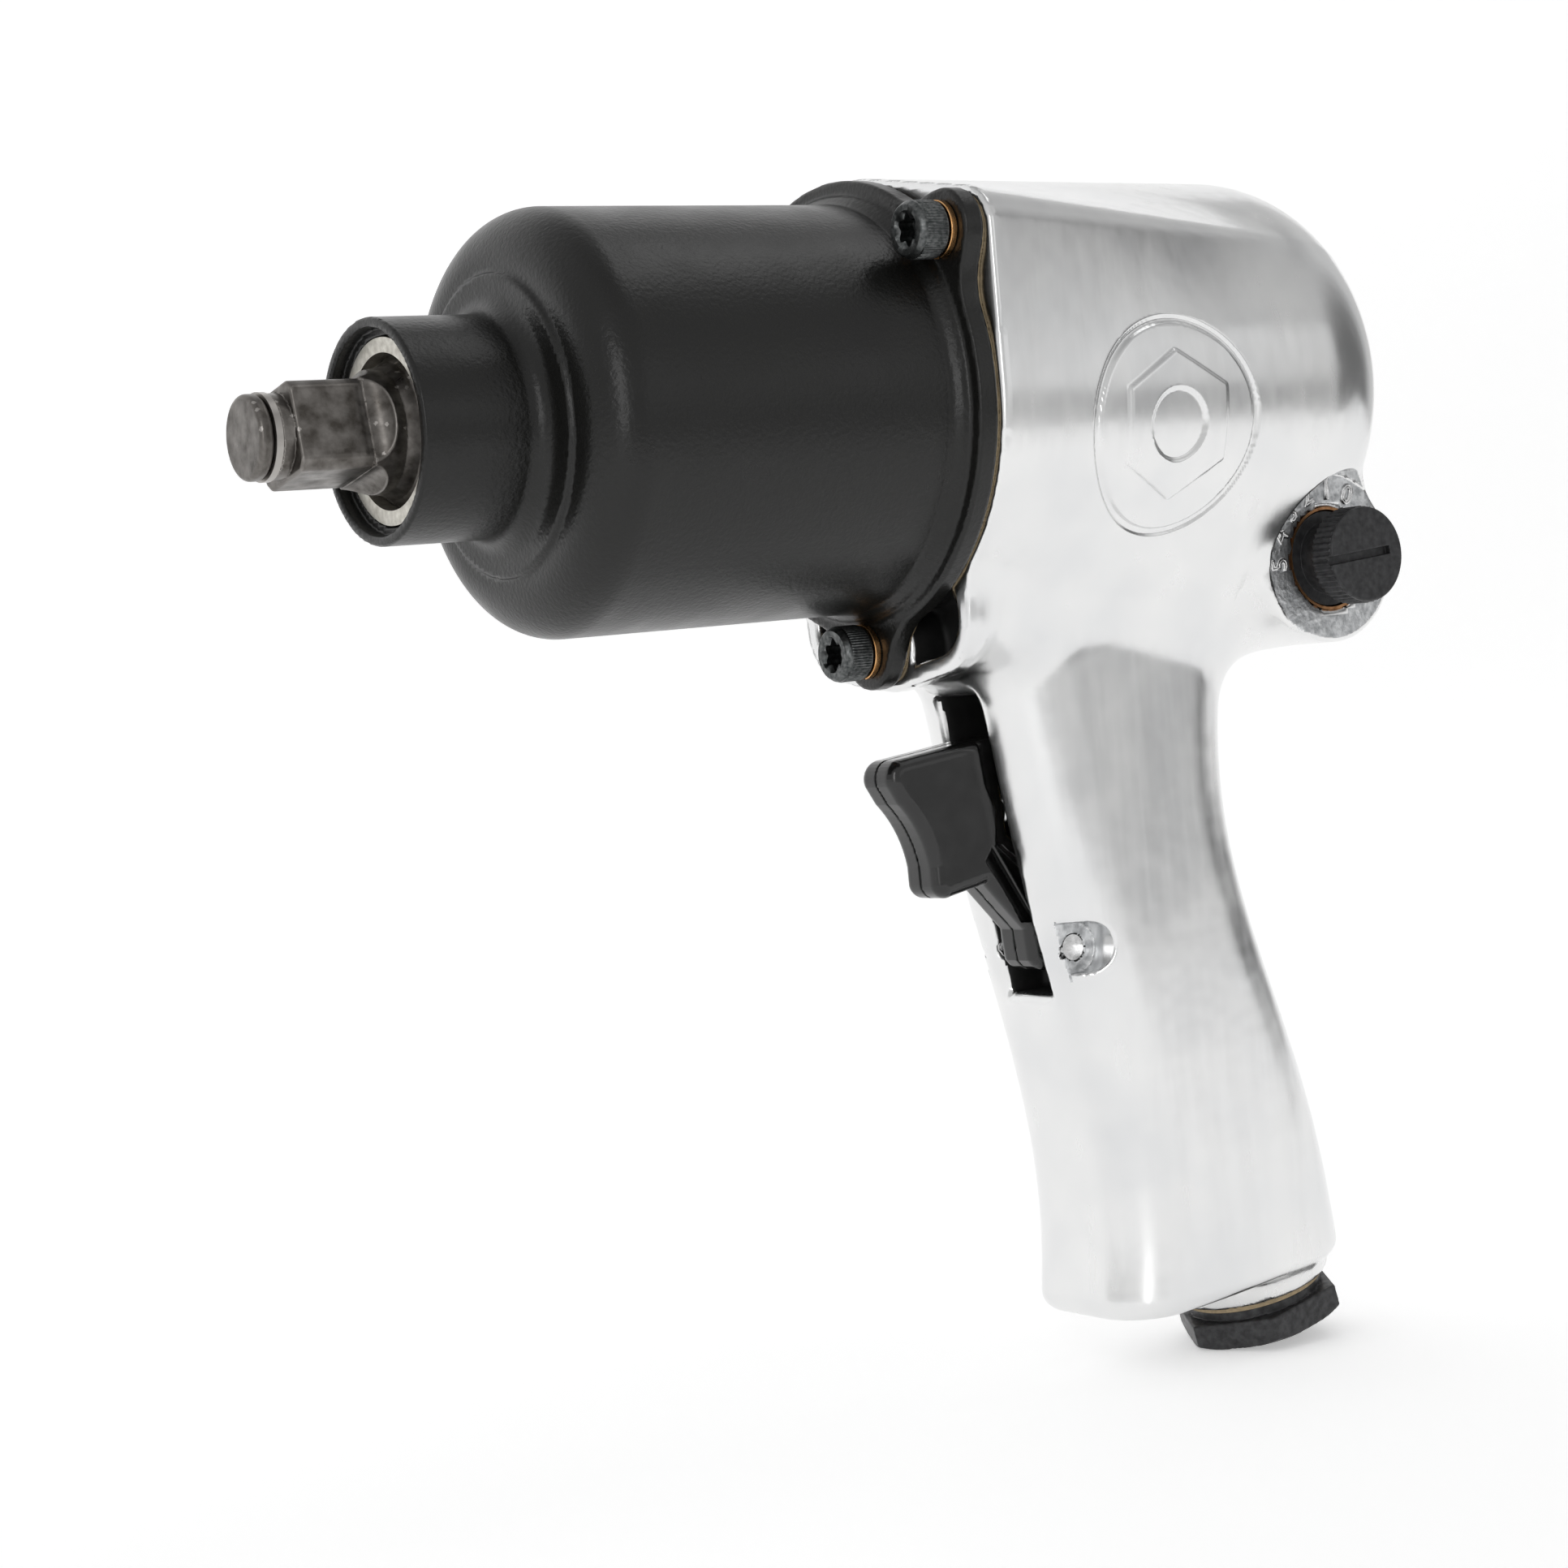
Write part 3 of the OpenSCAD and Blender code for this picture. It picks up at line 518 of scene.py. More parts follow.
def lobe(x, side, z):
    """Rim round the lower screw, which narrows backwards into the neck."""
    shrink = 0.42 * np.maximum(HOUSING_FACE_X - 3 - x, 0)
    return np.maximum(lobe_section(side, z) + shrink, HOUSING_FACE_X - 34 - x)


def grip(x, side, z):
    """Leaning handle with a rounded rectangular section."""
    front, rear = HANDLE_FRONT(z), HANDLE_REAR(z)
    along = np.abs(x - (front + rear) / 2) - (front - rear) / 2 + HANDLE_CORNER_R
    across = side - HANDLE_HALF_W + HANDLE_CORNER_R
    outside = np.hypot(np.maximum(along, 0), np.maximum(across, 0))
    section = outside + np.minimum(np.maximum(along, across), 0) - HANDLE_CORNER_R
    u, w = inlet_axes(x, z)
    bottom = round_max(HANDLE_BOTTOM_Z - z, GRIP_END_W - w, 8)
    return np.maximum(round_max(section, bottom, 3.5), z + 24)


def dial_boss(x, side, z):
    return round_max(np.hypot(x - DIAL_X, z - DIAL_Z) - DIAL_R, side - DIAL_FACE_Y, 0.7)


def inlet_boss(x, side, z):
    """Short cone that the inlet bushing screws into."""
    u, w = inlet_axes(x, z)
    radial = np.hypot(u, side) - 12.6 - 0.35 * (w - BOSS_END_W)
    return np.maximum(round_max(radial, BOSS_END_W - w, 0.8), w - GRIP_END_W - 2)


def air_passages(x, y, side, z):
    """Ways from the inlet to the reversing valve and the motor, and from the motor to the exhaust."""
    u, w = inlet_axes(x, z)
    inlet = np.hypot(u, side)
    inlet = np.minimum(np.maximum(inlet - 9.5, w + 66), np.maximum(inlet - 8.5, slab(w, -67, -24)))
    chamber = np.maximum(np.hypot(u, side) - 7, slab(w, -24.1, 8))
    lean = math.radians(49)
    along = (z + 54) * math.cos(lean) - (x + 123) * math.sin(lean)
    away = (x + 123) * math.cos(lean) + (z + 54) * math.sin(lean)
    rising = np.maximum(np.hypot(away, side) - 4.4, slab(along, 0, 36))
    feeds = np.maximum(np.hypot(side - 9, z + 21.5) - 3, slab(x, DIAL_X + 2, MOTOR_FLOOR_X + 1))
    plenum = np.maximum(np.maximum(slab(x, -118, -109), side - 13), slab(z, -42, -24))
    ducts = np.maximum(np.maximum(slab(x, -121, -112), slab(side, 8, 12)), slab(z, -106, -40))
    exhaust = np.maximum(np.maximum(slab(u, 13.6, 22), side - 9.5), w + 36)
    passages = inlet
    for passage in (chamber, rising, feeds, plenum, ducts, exhaust):
        passages = np.minimum(passages, passage)
    return passages


def housing_hollows(x, y, side, z):
    """Bores for the motor, the valve, the plunger, the screws and the pins."""
    r = np.hypot(y, z)
    motor = np.maximum(r - MOTOR_BORE_R, MOTOR_FLOOR_X - x)
    valve = np.hypot(x - DIAL_X, z - DIAL_Z) - 8.17
    plunger = np.maximum(np.hypot(y, z - PLUNGER_Z) - 3.52, slab(x, INLET_X, SLOT_X[0] + 1))
    screws = np.inf
    for angle in SCREW_ANGLES[1:]:
        turn = math.radians(angle)
        distance = np.hypot(side - abs(math.cos(turn)) * SCREW_CIRCLE_R, z - math.sin(turn) * SCREW_CIRCLE_R)
        screws = np.minimum(screws, np.maximum(distance - 2.53, -98 - x))
    dowel = np.maximum(np.hypot(y, z - 25.2) - 1.53, MOTOR_FLOOR_X - 4 - x)
    pin = np.hypot(x - PIN_X, z - PIN_Z) - 2.02
    stop_pin = np.maximum(np.hypot(x - DIAL_X, y + 3) - 1.25, slab(z, DIAL_Z, DIAL_Z + 28))
    hollows = np.minimum(motor, air_passages(x, y, side, z))
    for hollow in (valve, plunger, screws, dowel, pin, stop_pin):
        hollows = np.minimum(hollows, hollow)
    return hollows


def ear_pocket(x, side, z):
    """Hollow between the lower ear and the rim."""
    ear = np.hypot(side, z + SCREW_CIRCLE_R) - EAR_R - 0.35
    pocket = np.maximum(lobe_section(side, z) + 3, 31.2 - np.hypot(side, z))
    return np.maximum(round_max(pocket, -ear, 0.5), HOUSING_FACE_X - 7 - x)


def trigger_slot(x, side, z):
    ahead = round_max(SLOT_X[0] - x, z - SLOT_Z[1], 7)
    return np.maximum(np.maximum(ahead, SLOT_Z[0] - z), np.maximum(side - SLOT_HALF_W, z + 40))


def pin_recess(x, side, z):
    """D-shaped recess round each end of the trigger pin."""
    rear = np.hypot(x - PIN_X, z - PIN_Z) - 4
    front = np.maximum(np.abs(z - PIN_Z) - 4, x - PIN_X - 3.6)
    return np.maximum(np.where(x < PIN_X, rear, front), PIN_FLOOR_Y - side)


def housing_field(x, y, z):
    side = np.abs(y)
    body = round_min(barrel(x, side, z), dial_boss(x, side, z), 4)
    body = round_min(body, lobe(x, side, z), 5)
    body = round_min(body, grip(x, side, z), 9 + 6 * np.clip((-112 - x) / 20, 0, 1))
    body = round_min(body, inlet_boss(x, side, z), 1.5)
    body = round_max(body, x - HOUSING_FACE_X, 0.4)
    recess = np.maximum(np.hypot(x - DIAL_X, z - DIAL_Z) - DIAL_R - 0.2, DIAL_FACE_Y - side)
    body = round_max(body, -recess, 0.5)
    body = round_max(body, -trigger_slot(x, side, z), 2.2)
    body = round_max(body, -pin_recess(x, side, z), 0.3)
    body = round_max(body, -ear_pocket(x, side, z), 0.5)
    return np.maximum(body, -housing_hollows(x, y, side, z))


def badge_relief(x, y, z):
    """A ring groove and a raised plain nut on each side."""
    u, v = x - BADGE_X, z - BADGE_Z
    ring = np.abs(np.hypot(u, v) - BADGE_R) - 0.5
    turn = np.arctan2(v, u)
    flat = math.pi / 3
    lean = np.mod(turn + flat / 2, flat) - flat / 2
    nut = np.hypot(u, v) * np.cos(lean) - 9.5
    nut = np.maximum(nut, 5.2 - np.hypot(u, v))
    seen = np.abs(y) > 20
    groove = np.clip(0.5 - ring / 0.35, 0, 1) * -0.5
    raised = np.clip(0.5 - nut / 0.35, 0, 1) * 0.45
    return np.where(seen, groove + raised, 0)


def needs_detail(x, y, z):
    side = np.abs(y)
    badge = (np.hypot(x - BADGE_X, z - BADGE_Z) < BADGE_R + 1.4) & (side > 25)
    rim = (np.abs(np.hypot(x - DIAL_X, z - DIAL_Z) - DIAL_R) < 1.4) & (side > DIAL_FACE_Y - 1.5)
    recess = (np.hypot(x - PIN_X, z - PIN_Z) < 6) & (side > 8)
    return badge | rim | recess


def make_housing():
    obj = solid(
        "housing_casting", housing_field, HOUSING_LOW, HOUSING_HIGH, 0.85, needs_detail, 2, badge_relief
    )
    finish_piece(obj, "housing", "polished_aluminium")
    cast = cast_dial()
    obj.data.materials.append(cast)
    count = len(obj.data.polygons)
    centres = np.empty(count * 3)
    obj.data.polygons.foreach_get("center", centres)
    x, y, z = centres.reshape(-1, 3).T / MM
    side = np.abs(y)
    face = (np.hypot(x - DIAL_X, z - DIAL_Z) < DIAL_R - 0.1) & (np.abs(side - DIAL_FACE_Y) < 0.15)
    floor = (np.hypot(x - PIN_X, z - PIN_Z) < 5.4) & (np.abs(side - PIN_FLOOR_Y) < 0.2)
    # The ear pocket, the trigger slot and the inner bores get the black rubber material as painted shade: a
    # dark surface standing in for the shadow inside these hollows of the aluminium casting.
    pocket = (x < HOUSING_FACE_X - 0.8) & (ear_pocket(x, side, z) < 0.3)
    slot = trigger_slot(x, side, z) < 0.15
    inside = housing_hollows(x, y, side, z) < 0.15
    index = np.where(pocket | slot | inside, 2, np.where(face | floor, 1, 0)).astype(np.int32)
    obj.data.materials.append(SLOT_MATERIALS["black_rubber"])
    obj.data.polygons.foreach_set("material_index", index)
    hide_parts("motor_housing")


# ---------------------------------------------------------------- hammer case
def flange_section(y, z):
    outline = np.hypot(y, z) - FLANGE_R
    for angle in SCREW_ANGLES:
        turn = math.radians(angle)
        ear = (SCREW_CIRCLE_R * math.cos(turn), SCREW_CIRCLE_R * math.sin(turn))
        inner = (ear[0] * 0.75, ear[1] * 0.75)
        outline = round_min(outline, tapered(y, z, inner, EAR_R, ear, EAR_R), 6)
    return outline


def case_field(x, y, z):
    r = np.hypot(y, z)
    nose = round_max(r - NOSE_R, x - NOSE_X, 0.5)
    body = round_max(r - CASE_R, x - SHOULDER_X, SHOULDER_R)
    ring = round_max(r - 21.5, x - SHOULDER_X - 0.8, 0.5)
    case = round_min(round_min(body, ring, 0.5), nose, 3)
    flange = round_max(flange_section(y, z), slab(x, FLANGE_REAR_X, FLANGE_FRONT_X), 0.6)
    bead = np.hypot(r - CASE_R + 0.4, x - FLANGE_FRONT_X - 0.2) - 1.7
    case = round_min(round_min(case, bead, 1), flange, 0.8)
    case = np.maximum(case, FLANGE_REAR_X - x)
    hollow = np.minimum(np.maximum(r - 14.35, -1 - x), r - 13.02)
    hollow = np.minimum(hollow, np.maximum(r - CASE_BORE_R, x + 24))
    for angle in SCREW_ANGLES:
        turn = math.radians(angle)
        hole = np.hypot(y - SCREW_CIRCLE_R * math.cos(turn), z - SCREW_CIRCLE_R * math.sin(turn)) - 2.75
        hollow = np.minimum(hollow, hole)
    return round_max(case, -hollow, 0.3)


def make_case():
    obj = solid("hammer_case_casting", case_field, CASE_LOW, CASE_HIGH, 0.64)
    finish_piece(obj, "housing", "black_case")
    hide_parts("hammer_case")


def make_gasket():
    """Thin gasket, cut a little smaller than the flange."""
    low, high = box_mm("case_gasket")

    def field(x, y, z):
        cut = np.hypot(y, z) - MOTOR_BORE_R - 0.3
        for angle in SCREW_ANGLES:
            turn = math.radians(angle)
            hole = np.hypot(y - SCREW_CIRCLE_R * math.cos(turn), z - SCREW_CIRCLE_R * math.sin(turn)) - 2.75
            cut = np.minimum(cut, hole)
        return np.maximum(round_max(flange_section(y, z) + 0.8, slab(x, low[0], high[0]), 0.1), -cut)

    obj = solid("case_gasket_sheet", field, low, high, 0.24)
    finish_piece(obj, "housing", "gasket_fibre")
    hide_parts("case_gasket")


# ---------------------------------------------------------------- drive
def anvil_field(x, y, z):
    r = np.hypot(y, z)
    turn = math.radians(11)
    flat_y = y * math.cos(turn) + z * math.sin(turn)
    flat_z = z * math.cos(turn) - y * math.sin(turn)
    half = 12.7 / 2
    flats = round_max(np.abs(flat_y) - half, np.abs(flat_z) - half, 0.15)
    shaft = r - np.interp(x, (-3.4, -1.6, 0.2, 2.4), (10.85, 9.5, 8.75, 8.6))
    square = round_max(flats, r - 8.1, 0.25)
    square = round_max(square, x - 15.4, 0.5)
    neck = np.maximum(r - 5.9, slab(x, 0, 17.2))
    tip = round_max(r - 5.9, slab(x, 18.4, ANVIL_HIGH[0]), 0.7)
    core = np.maximum(r - 4.2, slab(x, 0, 19))
    front = np.minimum(np.minimum(square, neck), np.minimum(tip, core))
    blend = round_max(shaft, x - 4.6, 0.4)
    front = np.where(x > 4.6, front, np.minimum(blend, np.maximum(r - 8.6, 4 - x)))
    for across in (flat_y, flat_z):
        cutter = np.hypot(x - 4.9, np.abs(across) - half - 3.4) - 3.4
        front = round_max(front, -np.maximum(cutter, half + 0.02 - np.abs(across)), 0.15)
    journal = np.maximum(r - 10.85, slab(x, -24, -3.4))
    collar = np.maximum(r - 13, slab(x, -26.2, -24.2))
    core = np.maximum(r - 9.5, slab(x, -62.8, -26))
    pilot = np.maximum(r - 6, slab(x, ANVIL_LOW[0], -62))
    jaws = np.maximum(np.abs(y) - 6.5, r - 14.2)
    front_jaw = np.maximum(np.maximum(jaws, -z), slab(x, -46, -31.6))
    rear_jaw = np.maximum(np.maximum(jaws, z), slab(x, -62.4, -47.8))
    rear = journal
    for part in (collar, core, pilot, front_jaw, rear_jaw):
        rear = np.minimum(rear, part)
    return np.where(x > -3.4, np.maximum(front, -3.5 - x), rear)


def make_anvil():
    obj = solid(
        "drive_anvil_forging", anvil_field, ANVIL_LOW, ANVIL_HIGH, 0.42,
        lambda x, y, z: x > -3.2, 1,
    )
    finish_piece(obj, "drive_anvil", "hardened_steel")
    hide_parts("anvil")


# ---------------------------------------------------------------- trigger
TRIGGER_OUTLINE = (
    arc(0, 0, 3.8, 150, 330)
    + [(3.6, 1.3), (3.7, 3), (6.9, 6.6), (10.6, 10.9)]
    + arc(17.9, 12.1, 2.5, 250, 350)
    + arc(38.7, 12.1, 18.5, 172, 137)
    + arc(24, 28.6, 3, -20, 90)
    + [(6.7, 33.6), (5.5, 18.2), (-1, 12)]
)
TRIGGER_HOLLOW = [(10.2, 14.4), (8.8, 16.2), (7.2, 16.2), (2, 11), (-4, 7), (0, 4.6), (4.1, 4.7)]
TRIGGER_REAR = [(10.4, 36), (9.2, 26), (7.6, 22), (8.2, 17), (3, 14), (3, 36)]


def trigger_field(x, y, z):
    u, v, side = x - PIN_X, z - PIN_Z, np.abs(y)
    outline = polygon(u, v, TRIGGER_OUTLINE)
    half = TRIGGER_HIGH[1]
    body = round_max(outline, side - half, 1.9)
    # The side is stepped in where it runs back into the slot, and hollow behind the arm
    step = np.maximum(polygon(u, v, TRIGGER_REAR), half - 0.7 - side)
    hollow = np.maximum(polygon(u, v, TRIGGER_HOLLOW) - 0.4, half - 2 - side)
    rib = np.maximum(np.abs((u - 7.6) * 0.87 - (v - 14.2) * 0.5) - 0.35, half - 1.2 - side)
    body = round_max(round_max(body, -step, 0.6), -np.maximum(hollow, -rib), 0.3)
    crease = np.abs((u - 8.8) * 0.77 - (v - 9.3) * 0.64) - 0.14
    crease = np.maximum(crease, np.maximum(half - 0.3 - side, v - 11))
    parting = np.maximum(side - 0.16, -0.35 - outline)
    body = np.maximum(np.maximum(body, -parting), -np.maximum(crease, 2 - v))
    return np.maximum(body, 2.05 - np.hypot(u, v))


def make_trigger():
    obj = solid("trigger_moulding", trigger_field, TRIGGER_LOW, TRIGGER_HIGH, 0.3)
    finish_piece(obj, "trigger_lever", "gloss_black_plastic")
    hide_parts("trigger")


# ---------------------------------------------------------------- inlet
def bushing_field(x, y, z):
    u, w = inlet_axes(x, z)
    r = np.hypot(u, y)
    flat = math.pi / 3
    turn = np.mod(np.arctan2(y, u), flat) - flat / 2
    hexagon = r * np.cos(turn) - HEX_AF / 2
    chamfer = (r - HEX_AF / 2 - 0.2 - (w - HEX_END_W) * 1.7) * 0.5
    nut = round_max(round_max(hexagon, chamfer, 0.15), slab(w, HEX_END_W, HEX_TOP_W), 0.3)
    collar = round_max(r - 11, slab(w, HEX_TOP_W - 1, BOSS_END_W - 0.82), 0.3)
    thread = np.maximum(r - 9.4, slab(w, HEX_TOP_W, -66.1))
    body = np.minimum(np.minimum(nut, collar), thread)
    bore = np.minimum(np.maximum(r - 5.72, w - HEX_END_W - 14), r - 4.95)
    return round_max(body, -bore, 0.3)


def make_bushing():
    low, high = box_mm("inlet_bushing")
    obj = solid("inlet_hex_bushing", bushing_field, low, high, 0.4)
    finish_piece(obj, "housing", "black_steel")
    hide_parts("inlet_bushing")


# ---------------------------------------------------------------- knob and dial
def make_knob():
    """Knurled cap with a screwdriver slot, on a narrower stem."""
    face_y = KNOB_HIGH[1]
    cap_y = face_y - 4.7
    teeth = 48

    def field(x, y, z):
        u, v = x - DIAL_X, z - DIAL_Z
        r = np.hypot(u, v)
        knurl = 0.16 * np.cos(teeth * np.arctan2(v, u)) * (y < face_y - 0.6)
        cap = round_max(r - 7.45 - knurl, slab(y, cap_y, face_y), 0.35)
        stem = np.maximum(r - 5.7, slab(y, KNOB_LOW[1], cap_y + 1))
        base = np.maximum(r - 7.5, slab(y, KNOB_LOW[1], KNOB_LOW[1] + 1))
        knob = np.minimum(np.minimum(cap, stem), base)
        lean = math.radians(5)
        along = u * math.cos(lean) - v * math.sin(lean)
        across = v * math.cos(lean) + u * math.sin(lean)
        slot = np.maximum(np.maximum(np.abs(across) - 0.65, -4.9 - along), face_y - 1.1 - y)
        rod = np.maximum(r - 3.01, y - face_y + 4.1)
        return np.maximum(round_max(knob, -slot, 0.1), -rod)

    obj = solid("regulator_knob_cap", field, KNOB_LOW, KNOB_HIGH, 0.19)
    finish_piece(obj, "regulator", "black_steel")
    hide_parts("regulator_knob")


def make_numerals():
    """Outlined numerals 0 to 5 cast round the dial."""
    first, step, radius = -92, 23.4, 10.75
    parts = []
    for i, mark in enumerate("543210"):
        turn = math.radians(first + step * i)
        curve = bpy.data.curves.new("numeral", "FONT")
        curve.body = mark
        curve.align_x = "CENTER"
        curve.align_y = "CENTER"
        curve.size = 4.4 * MM
        curve.fill_mode = "NONE"
        curve.bevel_depth = 0.25 * MM
        curve.bevel_resolution = 1
        curve.resolution_u = 4
        obj = bpy.data.objects.new("numeral", curve)
        bpy.context.scene.collection.objects.link(obj)
        up = Vector((-math.sin(turn), 0, math.cos(turn)))
        right = Vector((-math.cos(turn), 0, -math.sin(turn)))
        centre = Vector((DIAL_X, DIAL_FACE_Y + 0.08, DIAL_Z)) + up * radius
        place = Matrix.Identity(4)
        for column, axis in enumerate((right, up, right.cross(up), centre * MM)):
            place.col[column].xyz = axis
        bpy.context.view_layer.update()
        graph = bpy.context.evaluated_depsgraph_get()
        mesh = bpy.data.meshes.new_from_object(obj.evaluated_get(graph))
        mesh.transform(place)
        part = bpy.data.objects.new("numeral", mesh)
        parts.append(part)
        bpy.data.objects.remove(obj)
        bpy.data.curves.remove(curve)
    obj = joined("dial_numerals", parts)
    obj.data.shade_smooth()
    finish_piece(obj, "housing", "polished_aluminium", SLOT_MATERIALS["bright_steel"])


def make_button():
    """Push button of the reversing spool, on the far side."""
    low, high = box_mm("reverse_button")
    rise = high[1] - low[1]
    place = Matrix.Translation((DIAL_X, high[1], DIAL_Z)) @ Matrix.Rotation(math.radians(90), 4, "X")
    profile = [
        (2.35, 0, 0, 0), (2.35, rise - 2.7, 0, 0), (5.9, rise - 2.7, 0, 0), (6.2, rise - 2.4, 0, 0),
        (6.2, rise - 0.7, 0, 0), (5.9, rise - 0.25, 0, 0), (5.4, rise, 0, 0), (4.6, rise, 0, 0),
        (4.3, rise - 0.4, 0, 0), (3.6, rise - 0.4, 0, 0), (3.3, rise, 0, 0), (1, rise - 0.1, 0, 0),
    ]
    obj = lathe("reversing_button_cap", profile, 96, place)
    sharpen(obj, 50)
    finish_piece(obj, "spool", "gloss_black_plastic")
    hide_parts("reverse_button")


# ---------------------------------------------------------------- fasteners
def screw_places(x):
    for angle in SCREW_ANGLES:
        turn = math.radians(angle)
        centre = (x, SCREW_CIRCLE_R * math.cos(turn), SCREW_CIRCLE_R * math.sin(turn))
        yield Matrix.Translation(centre) @ Matrix.Rotation(math.radians(90), 4, "Y")


def make_screws():
    """Cap screws with a knurled head and a six-lobed recess."""
    top = SCREW_HIGH[0]
    length = top - SCREW_LOW[0]
    head = length - 5
    profile = [
        (1.8, 0, 0, 0), (2.4, 0.7, 0, 0), (2.4, head, 0, 0), (3.9, head, 0, 0), (4.15, head + 0.3, 0, 0),
        (4.15, head + 0.45, 0.0, 0), (4.25, head + 0.6, 0.13, 0), (4.25, length - 1.25, 0.13, 0),
        (4.15, length - 1.1, 0, 0), (4.15, length - 0.75, 0, 0), (3.75, length - 0.1, 0, 0),
        (3.6, length, 0, 0), (2.75, length, 0, 0), (2.3, length - 0.3, 0, 0.28),
        (2.1, length - 0.5, 0, 0.36), (2.1, length - 3, 0, 0.36), (1.0, length - 3.2, 0, 0.1),
    ]
    parts = [lathe("screw", profile, 240, place) for place in screw_places(SCREW_LOW[0])]
    obj = joined("case_cap_screws", parts)
    sharpen(obj, 28)
    finish_piece(obj, "housing", "phosphate_steel")
    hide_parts("case_screws")


def make_washers():
    """Split spring washers, each a little open where it is cut."""
    x0, x1 = WASHER_LOW[0], WASHER_HIGH[0]
    steps, gap = 72, math.radians(9)
    parts = []
    for place in screw_places(x0):
        points, faces = [], []
        for i in range(steps + 1):
            angle = gap + (2 * math.pi - 2 * gap) * i / steps
            lift = 0.16 * (i / steps - 0.5)
            for r, h in ((2.8, 0.14), (4.1, 0.14), (4.2, 0.24), (4.2, x1 - x0 - 0.24),
                         (4.1, x1 - x0 - 0.14), (2.8, x1 - x0 - 0.14)):
                points.append((r * math.cos(angle), r * math.sin(angle), h + lift))
        for i in range(steps):
            for k in range(6):
                a, b = 6 * i + k, 6 * i + (k + 1) % 6
                faces.append((a, a + 6, b + 6, b))
        faces.append((0, 1, 2, 3, 4, 5))
        faces.append(tuple(6 * steps + k for k in (5, 4, 3, 2, 1, 0)))
        parts.append(transformed("washer", points, faces, place))
    obj = joined("split_spring_washers", parts)
    sharpen(obj, 30)
    finish_piece(obj, "housing", "copper_washer")
    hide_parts("spring_washers")


# ---------------------------------------------------------------- stage
def soft_box(name, centre, target, size, power):
    """A white area light of a width and height in metres, aimed at a point."""
    data = bpy.data.lights.new(name, "AREA")
    data.shape = "RECTANGLE"
    data.size, data.size_y = size
    data.energy = power
    lamp = bpy.data.objects.new(name, data)
    bpy.context.scene.collection.objects.link(lamp)
    lamp.location = centre
    lamp.rotation_euler = (Vector(target) - Vector(centre)).to_track_quat("-Z", "Y").to_euler()


def make_floor():
    """Pale floor that curves up behind into a plain backdrop."""
    level = cad_box[0][2]
    bend = 0.6
    rows = [(-0.5, 0)]
    for t in np.linspace(0, math.pi / 2, 16):
        rows.append((0.9 + bend * math.sin(t), bend - bend * math.cos(t)))
    rows.append((0.9 + bend, 2.5))
    points, faces = [], []
    for reach, rise in rows:
        for across in (-2.5, 2.5):
            points.append((-across, -reach, level + rise))
    for i in range(len(rows) - 1):
        faces.append((2 * i, 2 * i + 1, 2 * i + 3, 2 * i + 2))
    mesh = bpy.data.meshes.new("studio_floor")
    mesh.from_pydata(points, [], faces)
    mesh.shade_smooth()
    floor = bpy.data.objects.new("studio_floor", mesh)
    bpy.context.scene.collection.objects.link(floor)
    n = Nodes("studio_floor", 0, 0.9, (0.97, 0.97, 0.97))
    n.tint(n.noise(3), (0.965, 0.965, 0.965), (0.975, 0.975, 0.975))
    n.shader.inputs["Specular IOR Level"].default_value = 0.1
    n.shader.inputs["Emission Color"].default_value = (1, 1, 1, 1)
    n.shader.inputs["Emission Strength"].default_value = 0.35
    mesh.materials.append(n.material)


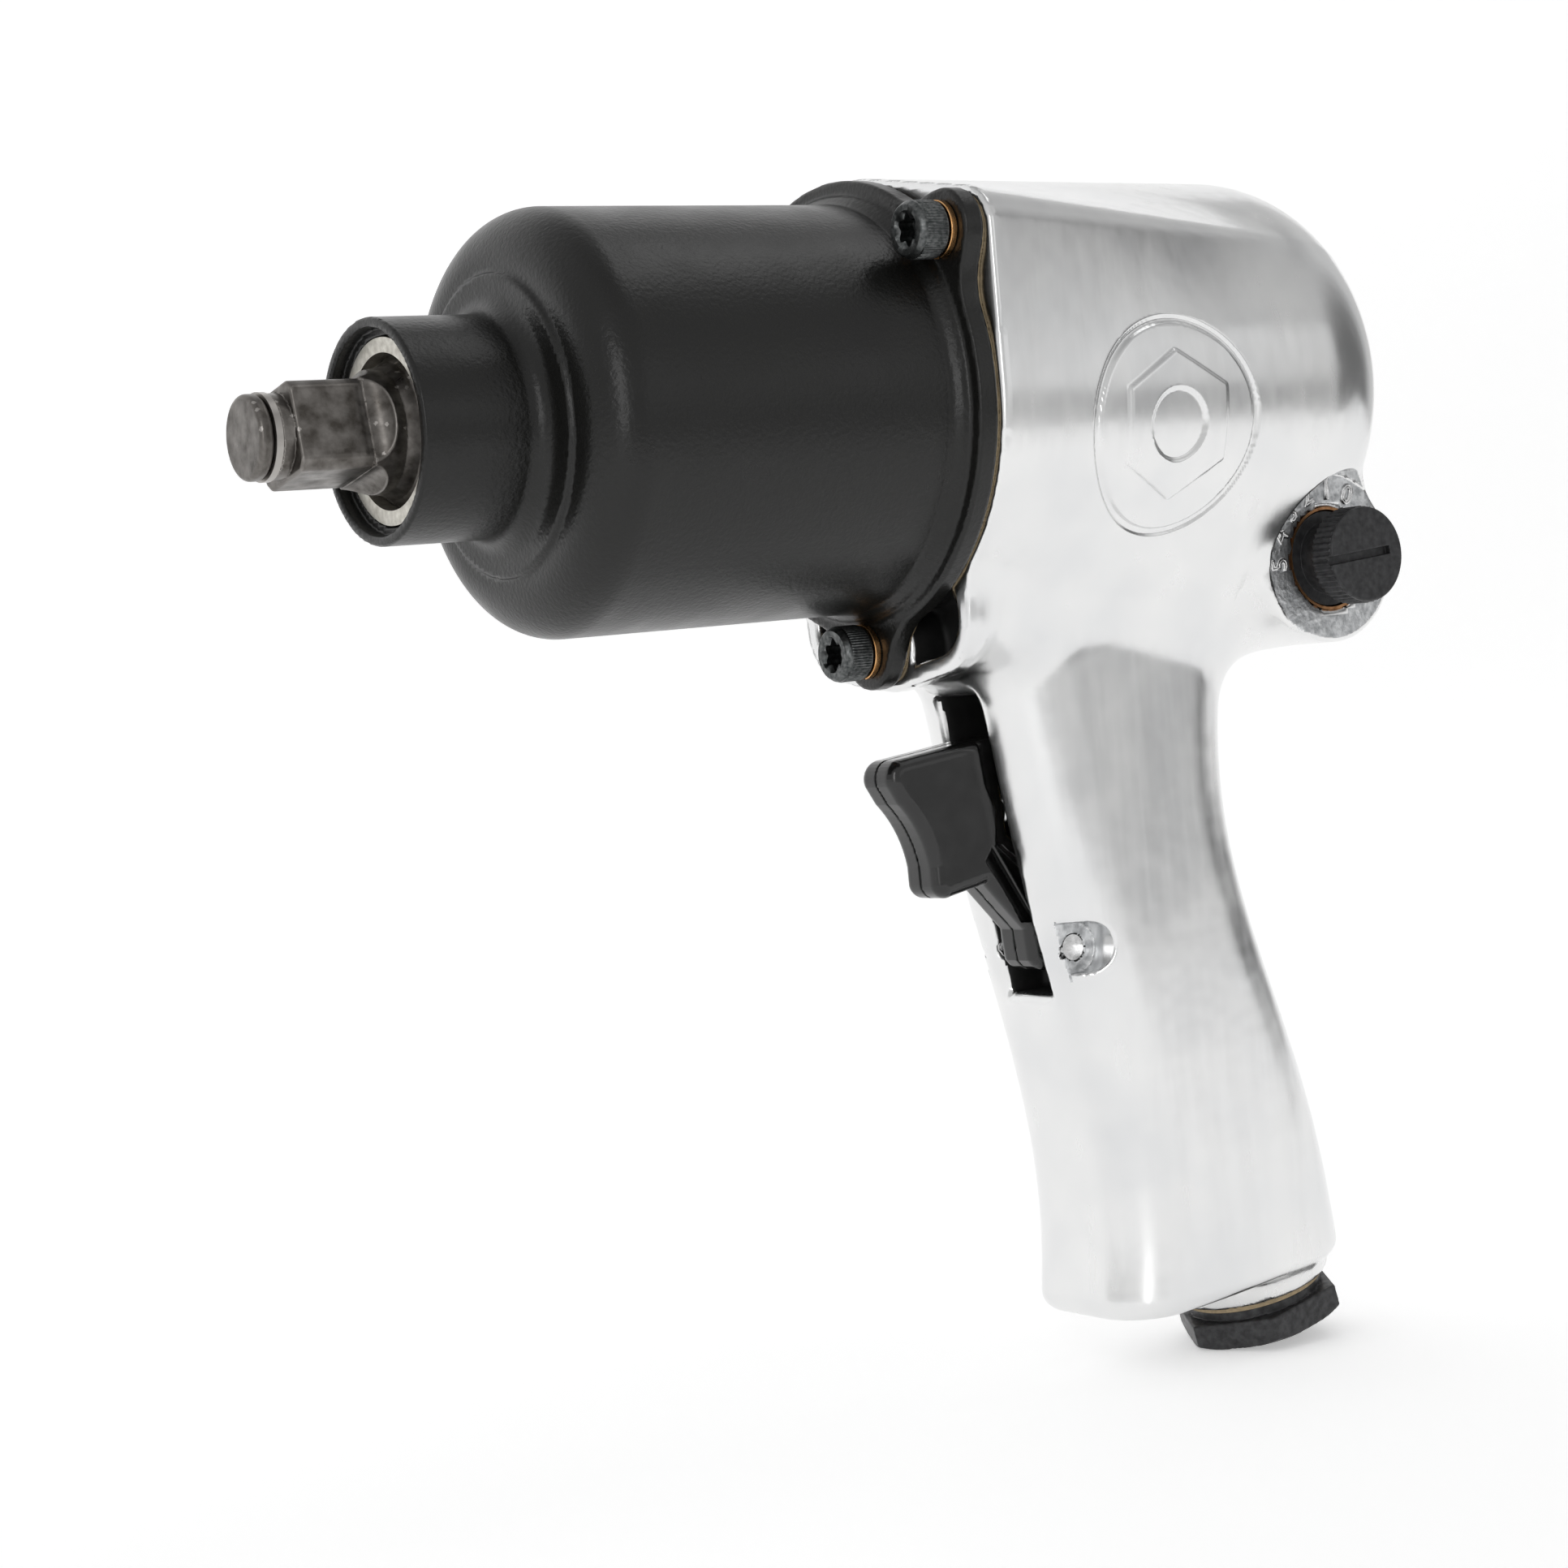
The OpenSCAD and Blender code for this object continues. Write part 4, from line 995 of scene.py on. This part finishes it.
def make_world():
    """Plain soft surroundings: light all round, darker behind the tool and overhead."""
    world = bpy.data.worlds.new("studio")
    bpy.context.scene.world = world
    world.use_nodes = True
    tree = world.node_tree
    sky = tree.nodes["Background"]
    sky.inputs["Color"].default_value = (1, 1, 1, 1)
    place = tree.nodes.new("ShaderNodeTexCoord")
    behind = ((-0.95, 0.3, 0), (0.78, 0.97), (0.62, 0.16))
    overhead = ((-0.3, 0.1, 0.95), (0.7, 0.95), (1, 0.7))
    tones = []
    for axis, span, light in (behind, overhead):
        aim = tree.nodes.new("ShaderNodeVectorMath")
        aim.operation = "DOT_PRODUCT"
        aim.inputs[1].default_value = axis
        tree.links.new(place.outputs["Generated"], aim.inputs[0])
        tone = tree.nodes.new("ShaderNodeMapRange")
        tone.interpolation_type = "SMOOTHSTEP"
        tone.inputs["From Min"].default_value, tone.inputs["From Max"].default_value = span
        tone.inputs["To Min"].default_value, tone.inputs["To Max"].default_value = light
        tree.links.new(aim.outputs["Value"], tone.inputs["Value"])
        tones.append(tone.outputs["Result"])
    both = tree.nodes.new("ShaderNodeMath")
    both.operation = "MULTIPLY"
    tree.links.new(tones[0], both.inputs[0])
    tree.links.new(tones[1], both.inputs[1])
    tree.links.new(both.outputs[0], sky.inputs["Strength"])


def make_lights():
    middle = (-0.08, 0, -0.05)
    soft_box("key_box", (0.66, 0.84, 0.2), middle, (0.25, 0.7), 1.6)
    soft_box("side_box", (-0.75, 1.1, 0.25), middle, (1.1, 0.5), 0.5)
    soft_box("top_box", (-0.6, 0.1, 0.95), middle, (0.6, 0.3), 0.6)


def make_camera():
    data = bpy.data.cameras.new("camera")
    data.lens = 75.3
    data.sensor_width = 36
    camera = bpy.data.objects.new("camera", data)
    bpy.context.scene.collection.objects.link(camera)
    right, up, back = (-0.8308, 0.5487, -0.0935), (-0.0996, 0.0187, 0.9948), (0.5476, 0.8358, 0.0392)
    centre = (0.2063, 0.40799, -0.0358)
    place = Matrix.Identity(4)
    for column, axis in enumerate((right, up, back, centre)):
        place.col[column].xyz = axis
    camera.matrix_world = place
    bpy.context.scene.camera = camera


make_camera()
make_world()
make_lights()
make_floor()
make_housing()
make_case()
make_gasket()
make_anvil()
make_trigger()
make_bushing()
make_knob()
make_numerals()
make_button()
make_screws()
make_washers()

for part in frame["record"]["subparts"]:
    mesh = frame["nodes"][part["node"]].data
    mesh.materials.clear()
    mesh.materials.append(SLOT_MATERIALS[part["material_slot"]])

bpy.context.scene.view_settings.view_transform = "Standard"
